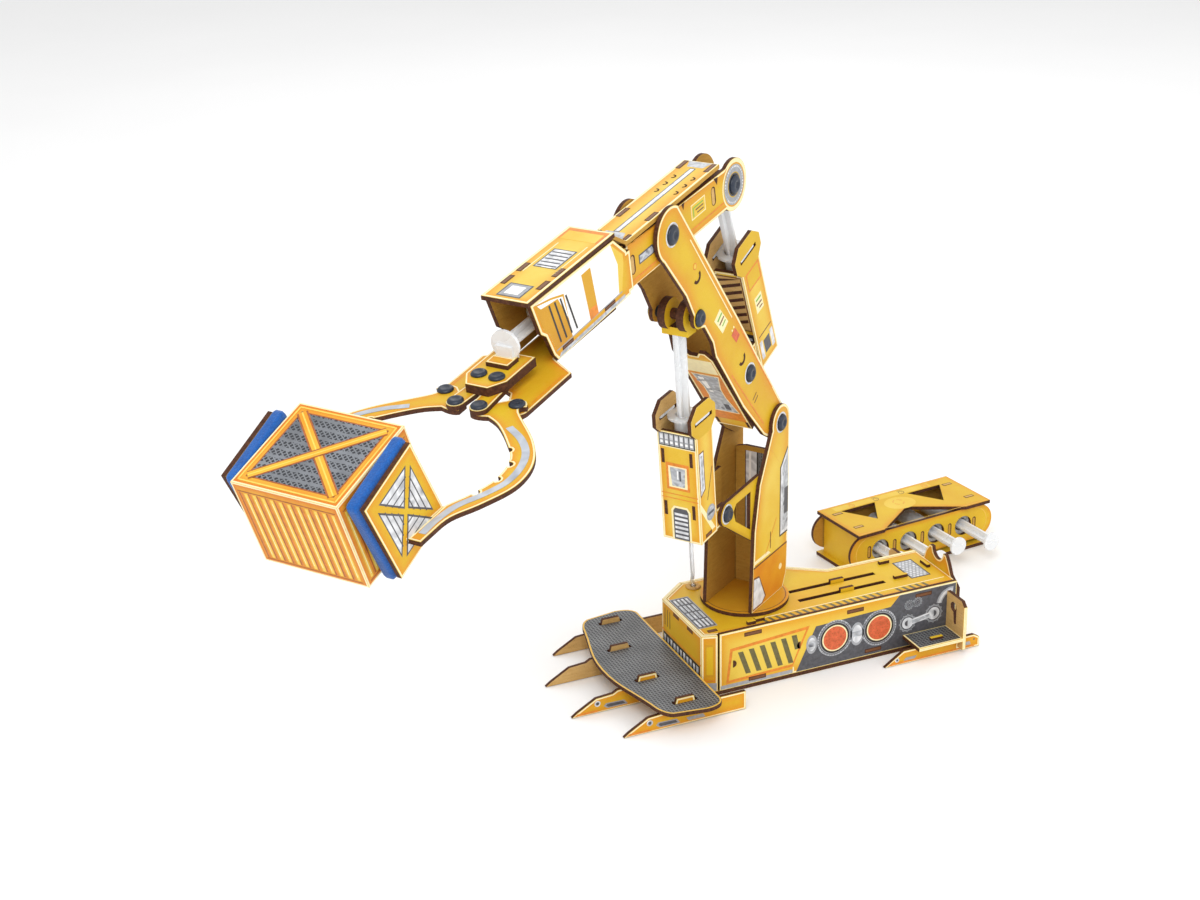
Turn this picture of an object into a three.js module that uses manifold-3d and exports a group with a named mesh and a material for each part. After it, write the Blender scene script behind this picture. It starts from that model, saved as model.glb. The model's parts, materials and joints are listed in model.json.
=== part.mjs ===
// Hydraulic arm kit: a press-out board robot arm worked by syringes, holding a crate.
// Millimetres, +Z up, origin on the ground under the turntable, +X towards the front forks.
import * as THREE from 'three';
import { mergeVertices } from 'three/addons/utils/BufferGeometryUtils.js';
import Module from 'manifold-3d';

const wasm = await Module();
wasm.setup();

// ---- driving dimensions -------------------------------------------------------------------
const BOARD = 3;                 // thickness of every board
const GAP = 0.3;                 // clearance between touching pieces
const ARM_YAW = 0.62;            // the arm stands turned this far from the base's length
const BASE_REAR = -168;
const BASE_FRONT = 60;
const NEAR_Y = 50;               // outer face of the near side panel
const FAR_Y = -45;               // outer face of the wide part's far side
const NARROW_Y = -15;            // outer face of the narrow rear part's far side
const DECK_TOP = 51;
const SIDE_FOOT = BOARD + GAP;
const DISC_R = 35;
const COLUMN_W = 21.5;           // half width over the column's side plates
const BOOM_W = 18;               // half width over the boom's side plates
const TAIL_W = 14;               // half width over the forearm's tail
const HOUSING_W = 17;            // half width over the forearm's front housing
const SHOULDER = { x: -18, z: 197.5 };
const BOOM_LEAN = 0.697;
const BOOM_LENGTH = 249.5;
const FRONT_PIN = { x: 63.5, z: 152.3 };
const FRONT_TILT = 0.0925;
const FRONT_AXIS = 24;           // the front cylinder's axis, ahead of its pin
const FRONT_REACH = 169;         // from the pin's level up to the clevis
const REAR_TILT = 0.384;
const REAR_AXIS = -38.9;         // the rear cylinder's axis, behind its pin
const REAR_REACH = 144;
const REAR_PIN_ALONG = 71.3;     // along the boom, from the shoulder
const MID_PIVOT = { x: 16.5, z: 172 };
const FOREARM_PITCH = 0.166;
const TAIL = { x: -96.2, z: -5.1 };
const GRIP_FLOOR = -22;          // underside of the gripper's base plate, in the forearm's frame
const CLAW_PIVOT = { x: 208, y: 26 };
const LINK_END = { x: 222, y: 8.5 };
const SLIDER_RIVET = { x: 198, y: 6.5 };
const CRATE = { x: 349.5, z: 0.6, length: 66, width: 72, height: 60, wall: 1.6, pitch: 0.21 };
const PAD = { length: 48, height: 58, foam: 9, pitch: 0.33 };
const BARREL_R = 7.5;            // outside radius of a syringe barrel
const BARREL_BORE = 6.4;
const FLANGE_R = 12;             // a barrel's finger flange
const CONSOLE = { x: -214, y: -112, yaw: 0.109, length: 142, width: 62, top: 42 };
const CONSOLE_PITCH = 30;        // spacing of the console's syringes
const CONSOLE_HOLE_R = 9;         // hole in the console's front panel for each plunger
const HOSE_R = 1.6;
const PIN_R = 4;
const PIN_HOLE_R = 4.3;
const TREAD_WIDTH = 25;          // how far a rear foot reaches out of the base
const TREAD = { rear: -159, front: -116, foot: 11 };
const FORK_PLATE_TOP = 18.5;
const SYRINGE_LIFT = 4;          // the gripper syringe's axis above the forearm's pin line

// ---- materials ----------------------------------------------------------------------------
const finish = (color, roughness = 0.6, opacity = 1) =>
  new THREE.MeshStandardMaterial({ color, roughness, metalness: 0, opacity, transparent: opacity < 1 });
const yellowBoard = finish(0xe8b020);
const deckBoard = finish(0xe2a91c);
const treadBoard = finish(0x4c4c52);
const beigeBoard = finish(0xc89b5a);
const clearPlastic = finish(0xe8eef2, 0.25, 0.4);
const whitePlastic = finish(0xf2f4f6, 0.4);
const blueFoam = finish(0x1557a8, 0.95);
const crateBoard = finish(0xf0a030);
const darkPin = finish(0x16202e, 0.5);

// ---- helpers ------------------------------------------------------------------------------
const bare = (geometry) => {
  const copy = geometry.clone();
  copy.deleteAttribute('normal');
  copy.deleteAttribute('uv');
  return mergeVertices(copy, 1e-4);
};

// a copy flipped to the other side of the XZ plane
function mirrored(geometry) {
  const merged = bare(geometry);
  merged.scale(1, -1, 1);
  const index = merged.index.array;
  for (let i = 0; i < index.length; i += 3) {
    [index[i], index[i + 1]] = [index[i + 1], index[i]];
  }
  return merged;
}

const toSolid = (geometry) => {
  const merged = bare(geometry);
  return new wasm.Manifold(new wasm.Mesh({
    numProp: 3,
    vertProperties: new Float32Array(merged.attributes.position.array),
    triVerts: new Uint32Array(merged.index.array),
  }));
};

const toGeometry = (solid) => {
  const mesh = solid.getMesh();
  const geometry = new THREE.BufferGeometry();
  geometry.setAttribute('position', new THREE.BufferAttribute(new Float32Array(mesh.vertProperties), 3));
  geometry.setIndex(new THREE.BufferAttribute(new Uint32Array(mesh.triVerts), 1));
  return geometry;
};

const join = (...pieces) => toGeometry(pieces.map(toSolid).reduce((a, b) => a.add(b)));
const cut = (piece, ...tools) =>
  toGeometry(tools.map(toSolid).reduce((a, b) => a.subtract(b), toSolid(piece)));

const box = (x0, x1, y0, y1, z0, z1) =>
  new THREE.BoxGeometry(x1 - x0, y1 - y0, z1 - z0).translate((x0 + x1) / 2, (y0 + y1) / 2, (z0 + z1) / 2);

const polygon = (points) => new THREE.Shape(points.map(([x, y]) => new THREE.Vector2(x, y)));

// a flat board lying in the XY plane, from z0 up
const flat = (shape, z0, thickness = BOARD, curveSegments = 10) =>
  new THREE.ExtrudeGeometry(shape, { depth: thickness, bevelEnabled: false, curveSegments })
    .translate(0, 0, z0);

// a board standing in the YZ plane, its outline given as y and z, its rear face at x0
const crosswise = (shape, x0) => flat(shape, 0).rotateX(Math.PI / 2).rotateZ(Math.PI / 2).translate(x0, 0, 0);

// a board standing in the XZ plane, its outline given as x and z, its far face at y0
const upright = (shape, y0, thickness = BOARD, curveSegments = 10) =>
  new THREE.ExtrudeGeometry(shape, { depth: thickness, bevelEnabled: false, curveSegments })
    .rotateX(Math.PI / 2)
    .translate(0, y0 + thickness, 0);

const circleHole = (shape, x, y, r) => {
  const hole = new THREE.Path();
  hole.absarc(x, y, r, 0, 2 * Math.PI, true);
  shape.holes.push(hole);
  return shape;
};

const cornerHole = (shape, corners) => {
  shape.holes.push(new THREE.Path(corners.map(([x, y]) => new THREE.Vector2(x, y))));
  return shape;
};

const slotHole = (shape, x0, x1, y0, y1) => cornerHole(shape, [[x0, y0], [x0, y1], [x1, y1], [x1, y0]]);

const stadium = (x0, x1, y, r) => {
  const shape = new THREE.Shape();
  shape.absarc(x1, y, r, -Math.PI / 2, Math.PI / 2, false);
  shape.absarc(x0, y, r, Math.PI / 2, 1.5 * Math.PI, false);
  return shape;
};

// a rod along Y
const crossRod = (x, z, r, y0, y1, sides = 16) =>
  new THREE.CylinderGeometry(r, r, y1 - y0, sides).translate(x, (y0 + y1) / 2, z);

// a turned piece about Z from pairs of radius and height
const turned = (profile, sides = 20) =>
  new THREE.LatheGeometry(profile.map(([r, z]) => new THREE.Vector2(r, z)), sides).rotateX(Math.PI / 2);

const kit = new THREE.Group();

const add = (parent, name, geometry, material) => {
  const mesh = new THREE.Mesh(geometry, material);
  mesh.name = name;
  parent.add(mesh);
  return mesh;
};

const place = (parent, { x = 0, y = 0, z = 0 }, turnY = 0, turnZ = 0) => {
  const group = new THREE.Group();
  group.position.set(x, y, z);
  group.rotation.set(0, turnY, turnZ);
  parent.add(group);
  return group;
};

// ---- base ---------------------------------------------------------------------------------
const deckOutline = [
  [BASE_REAR, NARROW_Y], [-82, NARROW_Y], [-54, FAR_Y + 11], [-48, FAR_Y], [36, FAR_Y],
  [BASE_FRONT, -25], [BASE_FRONT, NEAR_Y - 4], [48, NEAR_Y], [BASE_REAR, NEAR_Y],
];

// the outline pulled inwards by a margin, corner by corner
const inset = (points, margin) => points.map((point, i) => {
  const before = points[(i + points.length - 1) % points.length];
  const after = points[(i + 1) % points.length];
  const a = new THREE.Vector2(point[0] - before[0], point[1] - before[1]).normalize();
  const b = new THREE.Vector2(after[0] - point[0], after[1] - point[1]).normalize();
  const normal = new THREE.Vector2(-a.y - b.y, a.x + b.x).normalize();
  const reach = margin / (normal.x * -a.y + normal.y * a.x);
  return [point[0] + normal.x * reach, point[1] + normal.y * reach];
});

const wallStrip = (from, to) => {
  const outer = deckOutline.slice(from, to + 1);
  const inner = inset(deckOutline, BOARD).slice(from, to + 1).reverse();
  return polygon([...outer, ...inner]);
};

const sliderSlots = [8.5, 25];
const SLOT_FROM = -113;
const SLOT_TO = -35;

function buildBase() {
  const inner = inset(deckOutline, BOARD + GAP);
  const wallHeight = DECK_TOP - SIDE_FOOT;

  add(kit, 'base_bottom', flat(polygon(deckOutline), 0), beigeBoard);

  const deck = circleHole(circleHole(polygon(inner), 0, 0, 7.5), 29, -33, 3.2);
  const tracks = sliderSlots.map((y) =>
    box(SLOT_FROM, SLOT_TO, y - 2.2, y + 2.2, DECK_TOP - 4, DECK_TOP + 1));
  add(kit, 'base_deck', cut(flat(deck, DECK_TOP - BOARD), ...tracks), deckBoard);

  const nearSide = polygon([
    [BASE_REAR + BOARD + GAP, SIDE_FOOT], [46.5, SIDE_FOOT], [46.5, DECK_TOP + 1],
    [BASE_REAR + BOARD + GAP, DECK_TOP + 1],
  ]);
  add(kit, 'side_panel_near', upright(nearSide, NEAR_Y - BOARD), yellowBoard);

  const farSide = deckOutline.slice(0, 5);
  const farInner = inset(deckOutline, BOARD).slice(0, 5).reverse();
  farSide[0] = [BASE_REAR + BOARD + GAP, NARROW_Y];
  farInner[4] = [BASE_REAR + BOARD + GAP, NARROW_Y + BOARD];
  farSide[4] = [36 - GAP, FAR_Y];
  farInner[0] = [35 - GAP, FAR_Y + BOARD];
  add(kit, 'side_panel_far', flat(polygon([...farSide, ...farInner]), SIDE_FOOT, wallHeight), yellowBoard);

  const front = wallStrip(4, 7);
  add(kit, 'front_panel', flat(front, SIDE_FOOT, wallHeight), yellowBoard);

  // the rear board carries two prongs above the deck
  const prongFoot = DECK_TOP + 1;
  const prongTop = 66;
  const rear = new THREE.Shape();
  rear.moveTo(NARROW_Y, SIDE_FOOT);
  rear.lineTo(NEAR_Y, SIDE_FOOT);
  rear.lineTo(NEAR_Y, DECK_TOP - 6);
  rear.lineTo(40, prongFoot);
  rear.lineTo(36, prongTop - 6);
  rear.lineTo(32, prongTop);
  rear.absarc(20, prongTop, 8, 0, Math.PI, true);
  rear.lineTo(8, prongTop);
  rear.lineTo(3, prongTop - 6);
  rear.lineTo(0, prongFoot);
  rear.lineTo(NARROW_Y, DECK_TOP - 6);
  add(kit, 'rear_cradle', crosswise(rear, BASE_REAR), yellowBoard);

  // rear feet: a tread plate on the side, a pointed blade under it and a hooked ear standing on it
  const tip = TREAD.front + 27;
  const tail = TREAD.rear - 17;
  const foot = polygon([
    [tip, 0], [tip - 17, TREAD.foot], [tail + 5, TREAD.foot], [tail, TREAD.foot - 3], [tail, 0],
  ]);
  const tread = box(TREAD.rear, TREAD.front, 0, TREAD_WIDTH, TREAD.foot, TREAD.foot + BOARD);
  const blade = upright(foot, 17 - BOARD / 2);
  const ear = polygon([
    [0, SIDE_FOOT + GAP], [TREAD_WIDTH, SIDE_FOOT + GAP], [TREAD_WIDTH, 41], [TREAD_WIDTH - 4, 45], [0, 45],
  ]);
  const hookTop = Array.from({ length: 9 }, (_, k) => {
    const angle = (k / 8) * 1.5 * Math.PI;
    return [10 + 4.4 * Math.cos(angle), 35 + 4.4 * Math.sin(angle)];
  });
  cornerHole(ear, [...hookTop, [11.2, 22], [13, 20.6], [14.4, 22]]);
  const rearFoot = join(tread, blade, crosswise(ear, TREAD.rear));
  add(kit, 'rear_foot_near', rearFoot.clone().translate(0, NEAR_Y + GAP, 0), yellowBoard);
  add(kit, 'rear_foot_far', mirrored(rearFoot).translate(0, NARROW_Y - GAP, 0), yellowBoard);
}

function buildForks() {
  const forks = [
    { name: 'fork_outer_near', y: 76, tip: 139, tab: 88.6 },
    { name: 'fork_inner_near', y: 33, tip: 163, tab: 100 },
    { name: 'fork_inner_far', y: -20, tip: 163, tab: 100 },
    { name: 'fork_outer_far', y: -64, tip: 139, tab: 88.6 },
  ];
  const plateFoot = FORK_PLATE_TOP - BOARD;
  forks.forEach(({ name, y, tip, tab }) => {
    const back = Math.abs(y - 6) > 50 ? 38 : BASE_FRONT + GAP;
    const outline = polygon([
      [back, 0], [tip, 0], [tip - 4, 3], [tip - 20, 12], [tip - 34, 13], [tip - 38, plateFoot - GAP],
      [tab + 9, plateFoot - GAP], [tab + 7, FORK_PLATE_TOP + 4], [tab - 7, FORK_PLATE_TOP + 4],
      [tab - 9, plateFoot - GAP],
      [back, plateFoot - GAP],
    ]);
    add(kit, name, upright(outline, y - BOARD / 2), yellowBoard);
  });
  const plate = new THREE.Shape();
  plate.moveTo(BASE_FRONT + 2, -70);
  plate.quadraticCurveTo(BASE_FRONT + 4, -79, 78, -80);
  plate.lineTo(104, -76);
  plate.quadraticCurveTo(112, -72, 114, -58);
  plate.bezierCurveTo(120, -30, 126, -20, 126, 6);
  plate.bezierCurveTo(126, 32, 120, 42, 114, 70);
  plate.quadraticCurveTo(112, 86, 104, 90);
  plate.lineTo(78, 94);
  plate.quadraticCurveTo(64, 94, BASE_FRONT + 2, 84);
  const tabSlots = forks.map(({ y, tab }) =>
    box(tab - 10, tab + 10, y - 2, y + 2, plateFoot - 1, FORK_PLATE_TOP + 1));
  add(kit, 'front_tread_plate', cut(flat(plate, plateFoot, BOARD, 6), ...tabSlots), treadBoard);
}

function buildTurntableDrive() {
  // the cylinder lying in the base and the sliding rack that it pushes
  const axisZ = 28;
  const axisY = 17;
  const reach = 60;
  const barrel = turned([
    [BARREL_BORE, 0], [BARREL_R, 0], [BARREL_R, reach - 2], [FLANGE_R, reach - 2], [FLANGE_R, reach],
    [BARREL_BORE, reach], [BARREL_BORE, 0],
  ])
    .rotateY(-Math.PI / 2)
    .translate(-46, axisY, axisZ);
  add(kit, 'turntable_cylinder', barrel, clearPlastic);
  const plunger = new THREE.CylinderGeometry(5, 5, 84, 12).rotateZ(Math.PI / 2).translate(-68, axisY, axisZ);
  const carriage = box(-84, -20, 3, 31, 36, 39);
  const post = box(-32, -28, 13, 21, 26, 37);
  const pegs = sliderSlots.map((y) => box(-84, -72, y - 1.6, y + 1.6, 38, DECK_TOP + 3));
  add(kit, 'turntable_rack', join(plunger, carriage, post, ...pegs), yellowBoard);
}

// ---- column -------------------------------------------------------------------------------
const arm = place(kit, {}, 0, ARM_YAW);
const DISC_FOOT = DECK_TOP + GAP;
const DISC_TOP = DISC_FOOT + BOARD;

function buildColumn() {
  const disc = new THREE.Shape();
  disc.absarc(0, 0, DISC_R, 0, 2 * Math.PI, false);
  const hub = new THREE.CylinderGeometry(7, 7, 12, 20).rotateX(Math.PI / 2).translate(0, 0, DISC_FOOT - 5.5);
  add(arm, 'turntable_disc', join(flat(disc, DISC_FOOT, BOARD, 24), hub), deckBoard);

  const plateFoot = DISC_TOP + GAP;
  const side = () => {
    const shape = new THREE.Shape();
    shape.moveTo(29, plateFoot);
    shape.lineTo(25, 122);
    shape.lineTo(17, 158);
    shape.lineTo(SHOULDER.x + 15, 194);
    shape.absarc(SHOULDER.x, SHOULDER.z, 14.5, -0.2, Math.PI, false);
    shape.lineTo(-32, 120);
    shape.lineTo(-30, 66);
    shape.lineTo(-24, plateFoot);
    return circleHole(shape, SHOULDER.x, SHOULDER.z, PIN_HOLE_R);
  };
  add(arm, 'column_plate_near', upright(side(), COLUMN_W - BOARD), yellowBoard);
  add(arm, 'column_plate_far', upright(side(), -COLUMN_W), yellowBoard);

  const wallHalf = COLUMN_W - BOARD - 2 * GAP;
  const wall = polygon([
    [-wallHalf, plateFoot], [wallHalf, plateFoot], [wallHalf, 170], [10, 172], [-10, 172], [-wallHalf, 170],
  ]);
  slotHole(wall, -5, 5, 128, 150);
  add(arm, 'column_rear_wall', crosswise(wall, -22), beigeBoard);

  // a triangular bracket on each side plate carries the front cylinder's pin
  const bracket = () => {
    const shape = new THREE.Shape();
    shape.moveTo(20.8, 112);
    shape.lineTo(FRONT_PIN.x + 3, FRONT_PIN.z - 9);
    shape.absarc(FRONT_PIN.x, FRONT_PIN.z, 9.5, -1.25, 1.75, false);
    shape.lineTo(14, 164);
    shape.lineTo(10, 164);
    shape.lineTo(10, 112);
    circleHole(shape, FRONT_PIN.x, FRONT_PIN.z, PIN_HOLE_R);
    return cornerHole(shape, [[26, 124.2], [26, 156], [49, 155], [53.5, 150], [50, 140.8]]);
  };
  const bracketY = COLUMN_W - BOARD - GAP;
  add(arm, 'column_bracket_near', upright(bracket(), bracketY - BOARD), yellowBoard);
  add(arm, 'column_bracket_far', upright(bracket(), -bracketY), yellowBoard);
  add(arm, 'shoulder_pin', crossRod(SHOULDER.x, SHOULDER.z, PIN_R, -COLUMN_W - 2, COLUMN_W + 2), darkPin);
}

// ---- cylinders ----------------------------------------------------------------------------
// A board sleeve round a syringe: walls open at both ends, two eight-sided ears that grip the
// barrel's flange, and two lugs reaching sideways to the pin.
function cylinderHousing({ axis, half, depth, foot, top, lugY, lugR }) {
  const wallX = [axis - depth, axis + depth];
  const sleeve = box(wallX[0], wallX[1], -half, half, foot, top);
  const hollow = box(wallX[0] + BOARD, wallX[1] - BOARD, -half + BOARD, half - BOARD, foot - 1, top + 1);
  const earOutline = () => {
    const narrow = depth - 3;
    const wide = depth + 6;
    const shape = polygon([
      [axis - depth + 2, top - 4], [axis + depth - 2, top - 4], [axis + wide, top + 4],
      [axis + wide, top + 14], [axis + narrow, top + 22], [axis - narrow, top + 22],
      [axis - wide, top + 14], [axis - wide, top + 4],
    ]);
    return slotHole(shape, axis - 12.6, axis + 12.6, top + 7.5, top + 10.5);
  };
  const ears = [half - BOARD, -half].map((y) => upright(earOutline(), y));
  const lug = () => {
    const shape = new THREE.Shape();
    const side = Math.sign(axis);
    const wall = axis - side * (depth - BOARD / 2);
    const start = side * Math.PI / 2;
    shape.absarc(0, 0, lugR, start, start + Math.PI, false);
    shape.lineTo(wall, -side * lugR);
    shape.lineTo(wall, side * lugR);
    return circleHole(shape, 0, 0, PIN_HOLE_R);
  };
  const lugs = [lugY - BOARD, -lugY].map((y) => upright(lug(), y));
  return join(cut(sleeve, hollow), ...ears, ...lugs);
}

// a syringe barrel about Z, from foot up to its finger flange
const syringeBarrel = (foot, flange) => turned([
  [1.2, foot - 9], [2.2, foot - 9], [2.6, foot], [BARREL_R, foot + 2], [BARREL_R, flange], [FLANGE_R, flange],
  [FLANGE_R, flange + 2], [BARREL_BORE, flange + 2], [BARREL_BORE, foot + 3.5], [1.2, foot + 3.5],
  [1.2, foot - 9],
]);

// the plunger's cross-shaped stem with its piston disc
const plungerStem = (from, to) => join(
  box(-5, 5, -1, 1, from, to),
  box(-1, 1, -5, 5, from, to),
  new THREE.CylinderGeometry(6, 6, 5, 16).rotateX(Math.PI / 2).translate(0, 0, from + 2.5),
);

function buildFrontCylinder() {
  const group = place(arm, FRONT_PIN, FRONT_TILT);
  const foot = -8;
  const top = 81;
  const housing = cylinderHousing({
    axis: FRONT_AXIS, half: 16, depth: 12, foot, top, lugY: 14.9, lugR: 8,
  });
  const backGap = box(FRONT_AXIS - 13, FRONT_AXIS - 8, -8, 8, 12, 70);
  add(group, 'front_cylinder_housing', cut(housing, backGap), yellowBoard);
  const flange = top + 8;
  add(group, 'front_cylinder_barrel', syringeBarrel(10, flange).translate(FRONT_AXIS, 0, 0), clearPlastic);
  add(group, 'front_cylinder_pin', crossRod(0, 0, PIN_R, -COLUMN_W + 1, COLUMN_W - 1), darkPin);
  const stem = plungerStem(60, FRONT_REACH - 12);
  const fork = join(
    box(-6, 6, -10.5, 10.5, FRONT_REACH - 14, FRONT_REACH - 8),
    crossRod(0, FRONT_REACH, 11.5, -10.5, -4.5, 20),
    crossRod(0, FRONT_REACH, 11.5, 4.5, 10.5, 20),
    crossRod(0, FRONT_REACH, PIN_R, -12, 12, 14),
  );
  add(group, 'front_cylinder_plunger', join(stem, fork).translate(FRONT_AXIS, 0, 0), whitePlastic);
}

function buildRearCylinder(boom) {
  const group = place(boom, { z: REAR_PIN_ALONG }, REAR_TILT - BOOM_LEAN);
  const foot = -18;
  const top = 72;
  const housing = cylinderHousing({
    axis: REAR_AXIS, half: 13, depth: 14, foot, top, lugY: 11.6, lugR: 8,
  });
  add(group, 'rear_cylinder_housing', housing, yellowBoard);
  add(group, 'rear_cylinder_barrel', syringeBarrel(4, top + 8).translate(REAR_AXIS, 0, 0), clearPlastic);
  const stem = plungerStem(50, REAR_REACH - 8);
  const eye = crossRod(0, REAR_REACH, 8, -5, 5, 20);
  add(group, 'rear_cylinder_plunger', join(stem, eye).translate(REAR_AXIS, 0, 0), whitePlastic);
}

// ---- boom ---------------------------------------------------------------------------------
function buildBoom() {
  const boom = place(arm, SHOULDER, BOOM_LEAN);
  const side = () => {
    const shape = new THREE.Shape();
    shape.absarc(0, 0, 14, Math.PI, 1.9 * Math.PI, false);
    shape.lineTo(19, 12);
    shape.lineTo(23, 60);
    shape.lineTo(21.5, 128);
    shape.lineTo(17, 140);
    shape.lineTo(16.5, 160);
    shape.absarc(MID_PIVOT.x, MID_PIVOT.z, 7.8, -0.9, 1.1, false);
    shape.lineTo(17, 200);
    shape.lineTo(19, BOOM_LENGTH - 8);
    shape.absarc(0, BOOM_LENGTH, 20, -0.3, 0.85 * Math.PI, false);
    shape.lineTo(-17, 120);
    circleHole(shape, 0, 0, PIN_HOLE_R);
    circleHole(shape, 0, REAR_PIN_ALONG, PIN_HOLE_R);
    circleHole(shape, MID_PIVOT.x, MID_PIVOT.z, PIN_HOLE_R);
    return circleHole(shape, 0, BOOM_LENGTH, PIN_HOLE_R);
  };
  add(boom, 'boom_plate_near', upright(side(), BOOM_W - BOARD), yellowBoard);
  add(boom, 'boom_plate_far', upright(side(), -BOOM_W), yellowBoard);
  // the cover board across the boom's lower front
  const half = BOOM_W - BOARD - GAP;
  const cover = polygon([
    [-half, 26], [half, 26], [half, 124], [half - 4, 132], [6, 132], [3, 127], [-3, 127], [-6, 132],
    [-half + 4, 132], [-half, 124],
  ]);
  add(boom, 'boom_cover', crosswise(cover, 20), yellowBoard);
  add(boom, 'elbow_pin', crossRod(0, BOOM_LENGTH, PIN_R, -BOOM_W - 2, BOOM_W + 2), darkPin);
  add(boom, 'rear_cylinder_pin', crossRod(0, REAR_PIN_ALONG, PIN_R, -BOOM_W - 1, BOOM_W + 1), darkPin);
  return boom;
}

// ---- forearm ------------------------------------------------------------------------------
function buildForearm(boom) {
  const forearm = place(boom, { z: BOOM_LENGTH }, FOREARM_PITCH - BOOM_LEAN);
  const step = 56;
  const tailSide = () => {
    const shape = new THREE.Shape();
    shape.moveTo(step, -16);
    shape.lineTo(step, 14.2);
    shape.lineTo(-86, 11);
    shape.absarc(TAIL.x, TAIL.z, 19, 1.0, 1.75 * Math.PI, false);
    circleHole(shape, TAIL.x, TAIL.z, PIN_HOLE_R);
    return circleHole(shape, 0, 0, PIN_HOLE_R);
  };
  const housingSide = () => polygon([
    [step, -17], [146, -19], [150, -14], [156, 2], [161, 6], [168, 29], [step + 14, 28], [step, 14],
  ]);
  [['near', 1], ['far', -1]].forEach(([side, sign]) => {
    const tailY = sign > 0 ? TAIL_W - BOARD : -TAIL_W;
    const housingY = sign > 0 ? HOUSING_W - BOARD - 0.5 : -HOUSING_W + 0.5;
    const tail = upright(tailSide(), tailY);
    const housing = upright(housingSide(), housingY);
    const bridge = box(step - 4, step + 2, sign > 0 ? TAIL_W - BOARD : -HOUSING_W + 0.5,
      sign > 0 ? HOUSING_W - 0.5 : -TAIL_W + BOARD, -15, 13);
    add(forearm, `forearm_side_${side}`, join(tail, housing, bridge), yellowBoard);
  });
  const tailRoof = box(-78, step - 4, -TAIL_W, TAIL_W, 14.5 + GAP, 14.5 + GAP + BOARD);
  const housingRoof = box(step + 12, 171, -HOUSING_W, HOUSING_W, 29.3, 29.3 + BOARD);
  const slope = polygon([[step - 6, 14.8], [step + 14, 29.3], [step + 14, 32.3], [step - 6, 17.8]]);
  const ramp = upright(slope, -TAIL_W, 2 * TAIL_W);
  add(forearm, 'forearm_roof', join(tailRoof, housingRoof, ramp), yellowBoard);
  return forearm;
}

// ---- gripper ------------------------------------------------------------------------------
function clawOutline() {
  const outer = [[214, 31], [240, 58], [262, 72], [285, 75], [308, 67], [326, 58], [344, 57]];
  const inner = [[344, 49], [322, 47], [300, 56], [282, 60], [262, 56], [246, 43], [232, 28], [226, 17]];
  const shape = new THREE.Shape();
  shape.moveTo(LINK_END.x - 4, LINK_END.y - 4.5);
  shape.lineTo(CLAW_PIVOT.x - 6, CLAW_PIVOT.y - 5);
  shape.quadraticCurveTo(CLAW_PIVOT.x - 9, CLAW_PIVOT.y + 4, CLAW_PIVOT.x, CLAW_PIVOT.y + 7);
  shape.splineThru(outer.map(([x, y]) => new THREE.Vector2(x, y)));
  shape.lineTo(inner[0][0], inner[0][1]);
  shape.splineThru(inner.slice(1).map(([x, y]) => new THREE.Vector2(x, y)));
  shape.quadraticCurveTo(229, 8, LINK_END.x + 4, LINK_END.y - 4.5);
  return shape;
}

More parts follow.
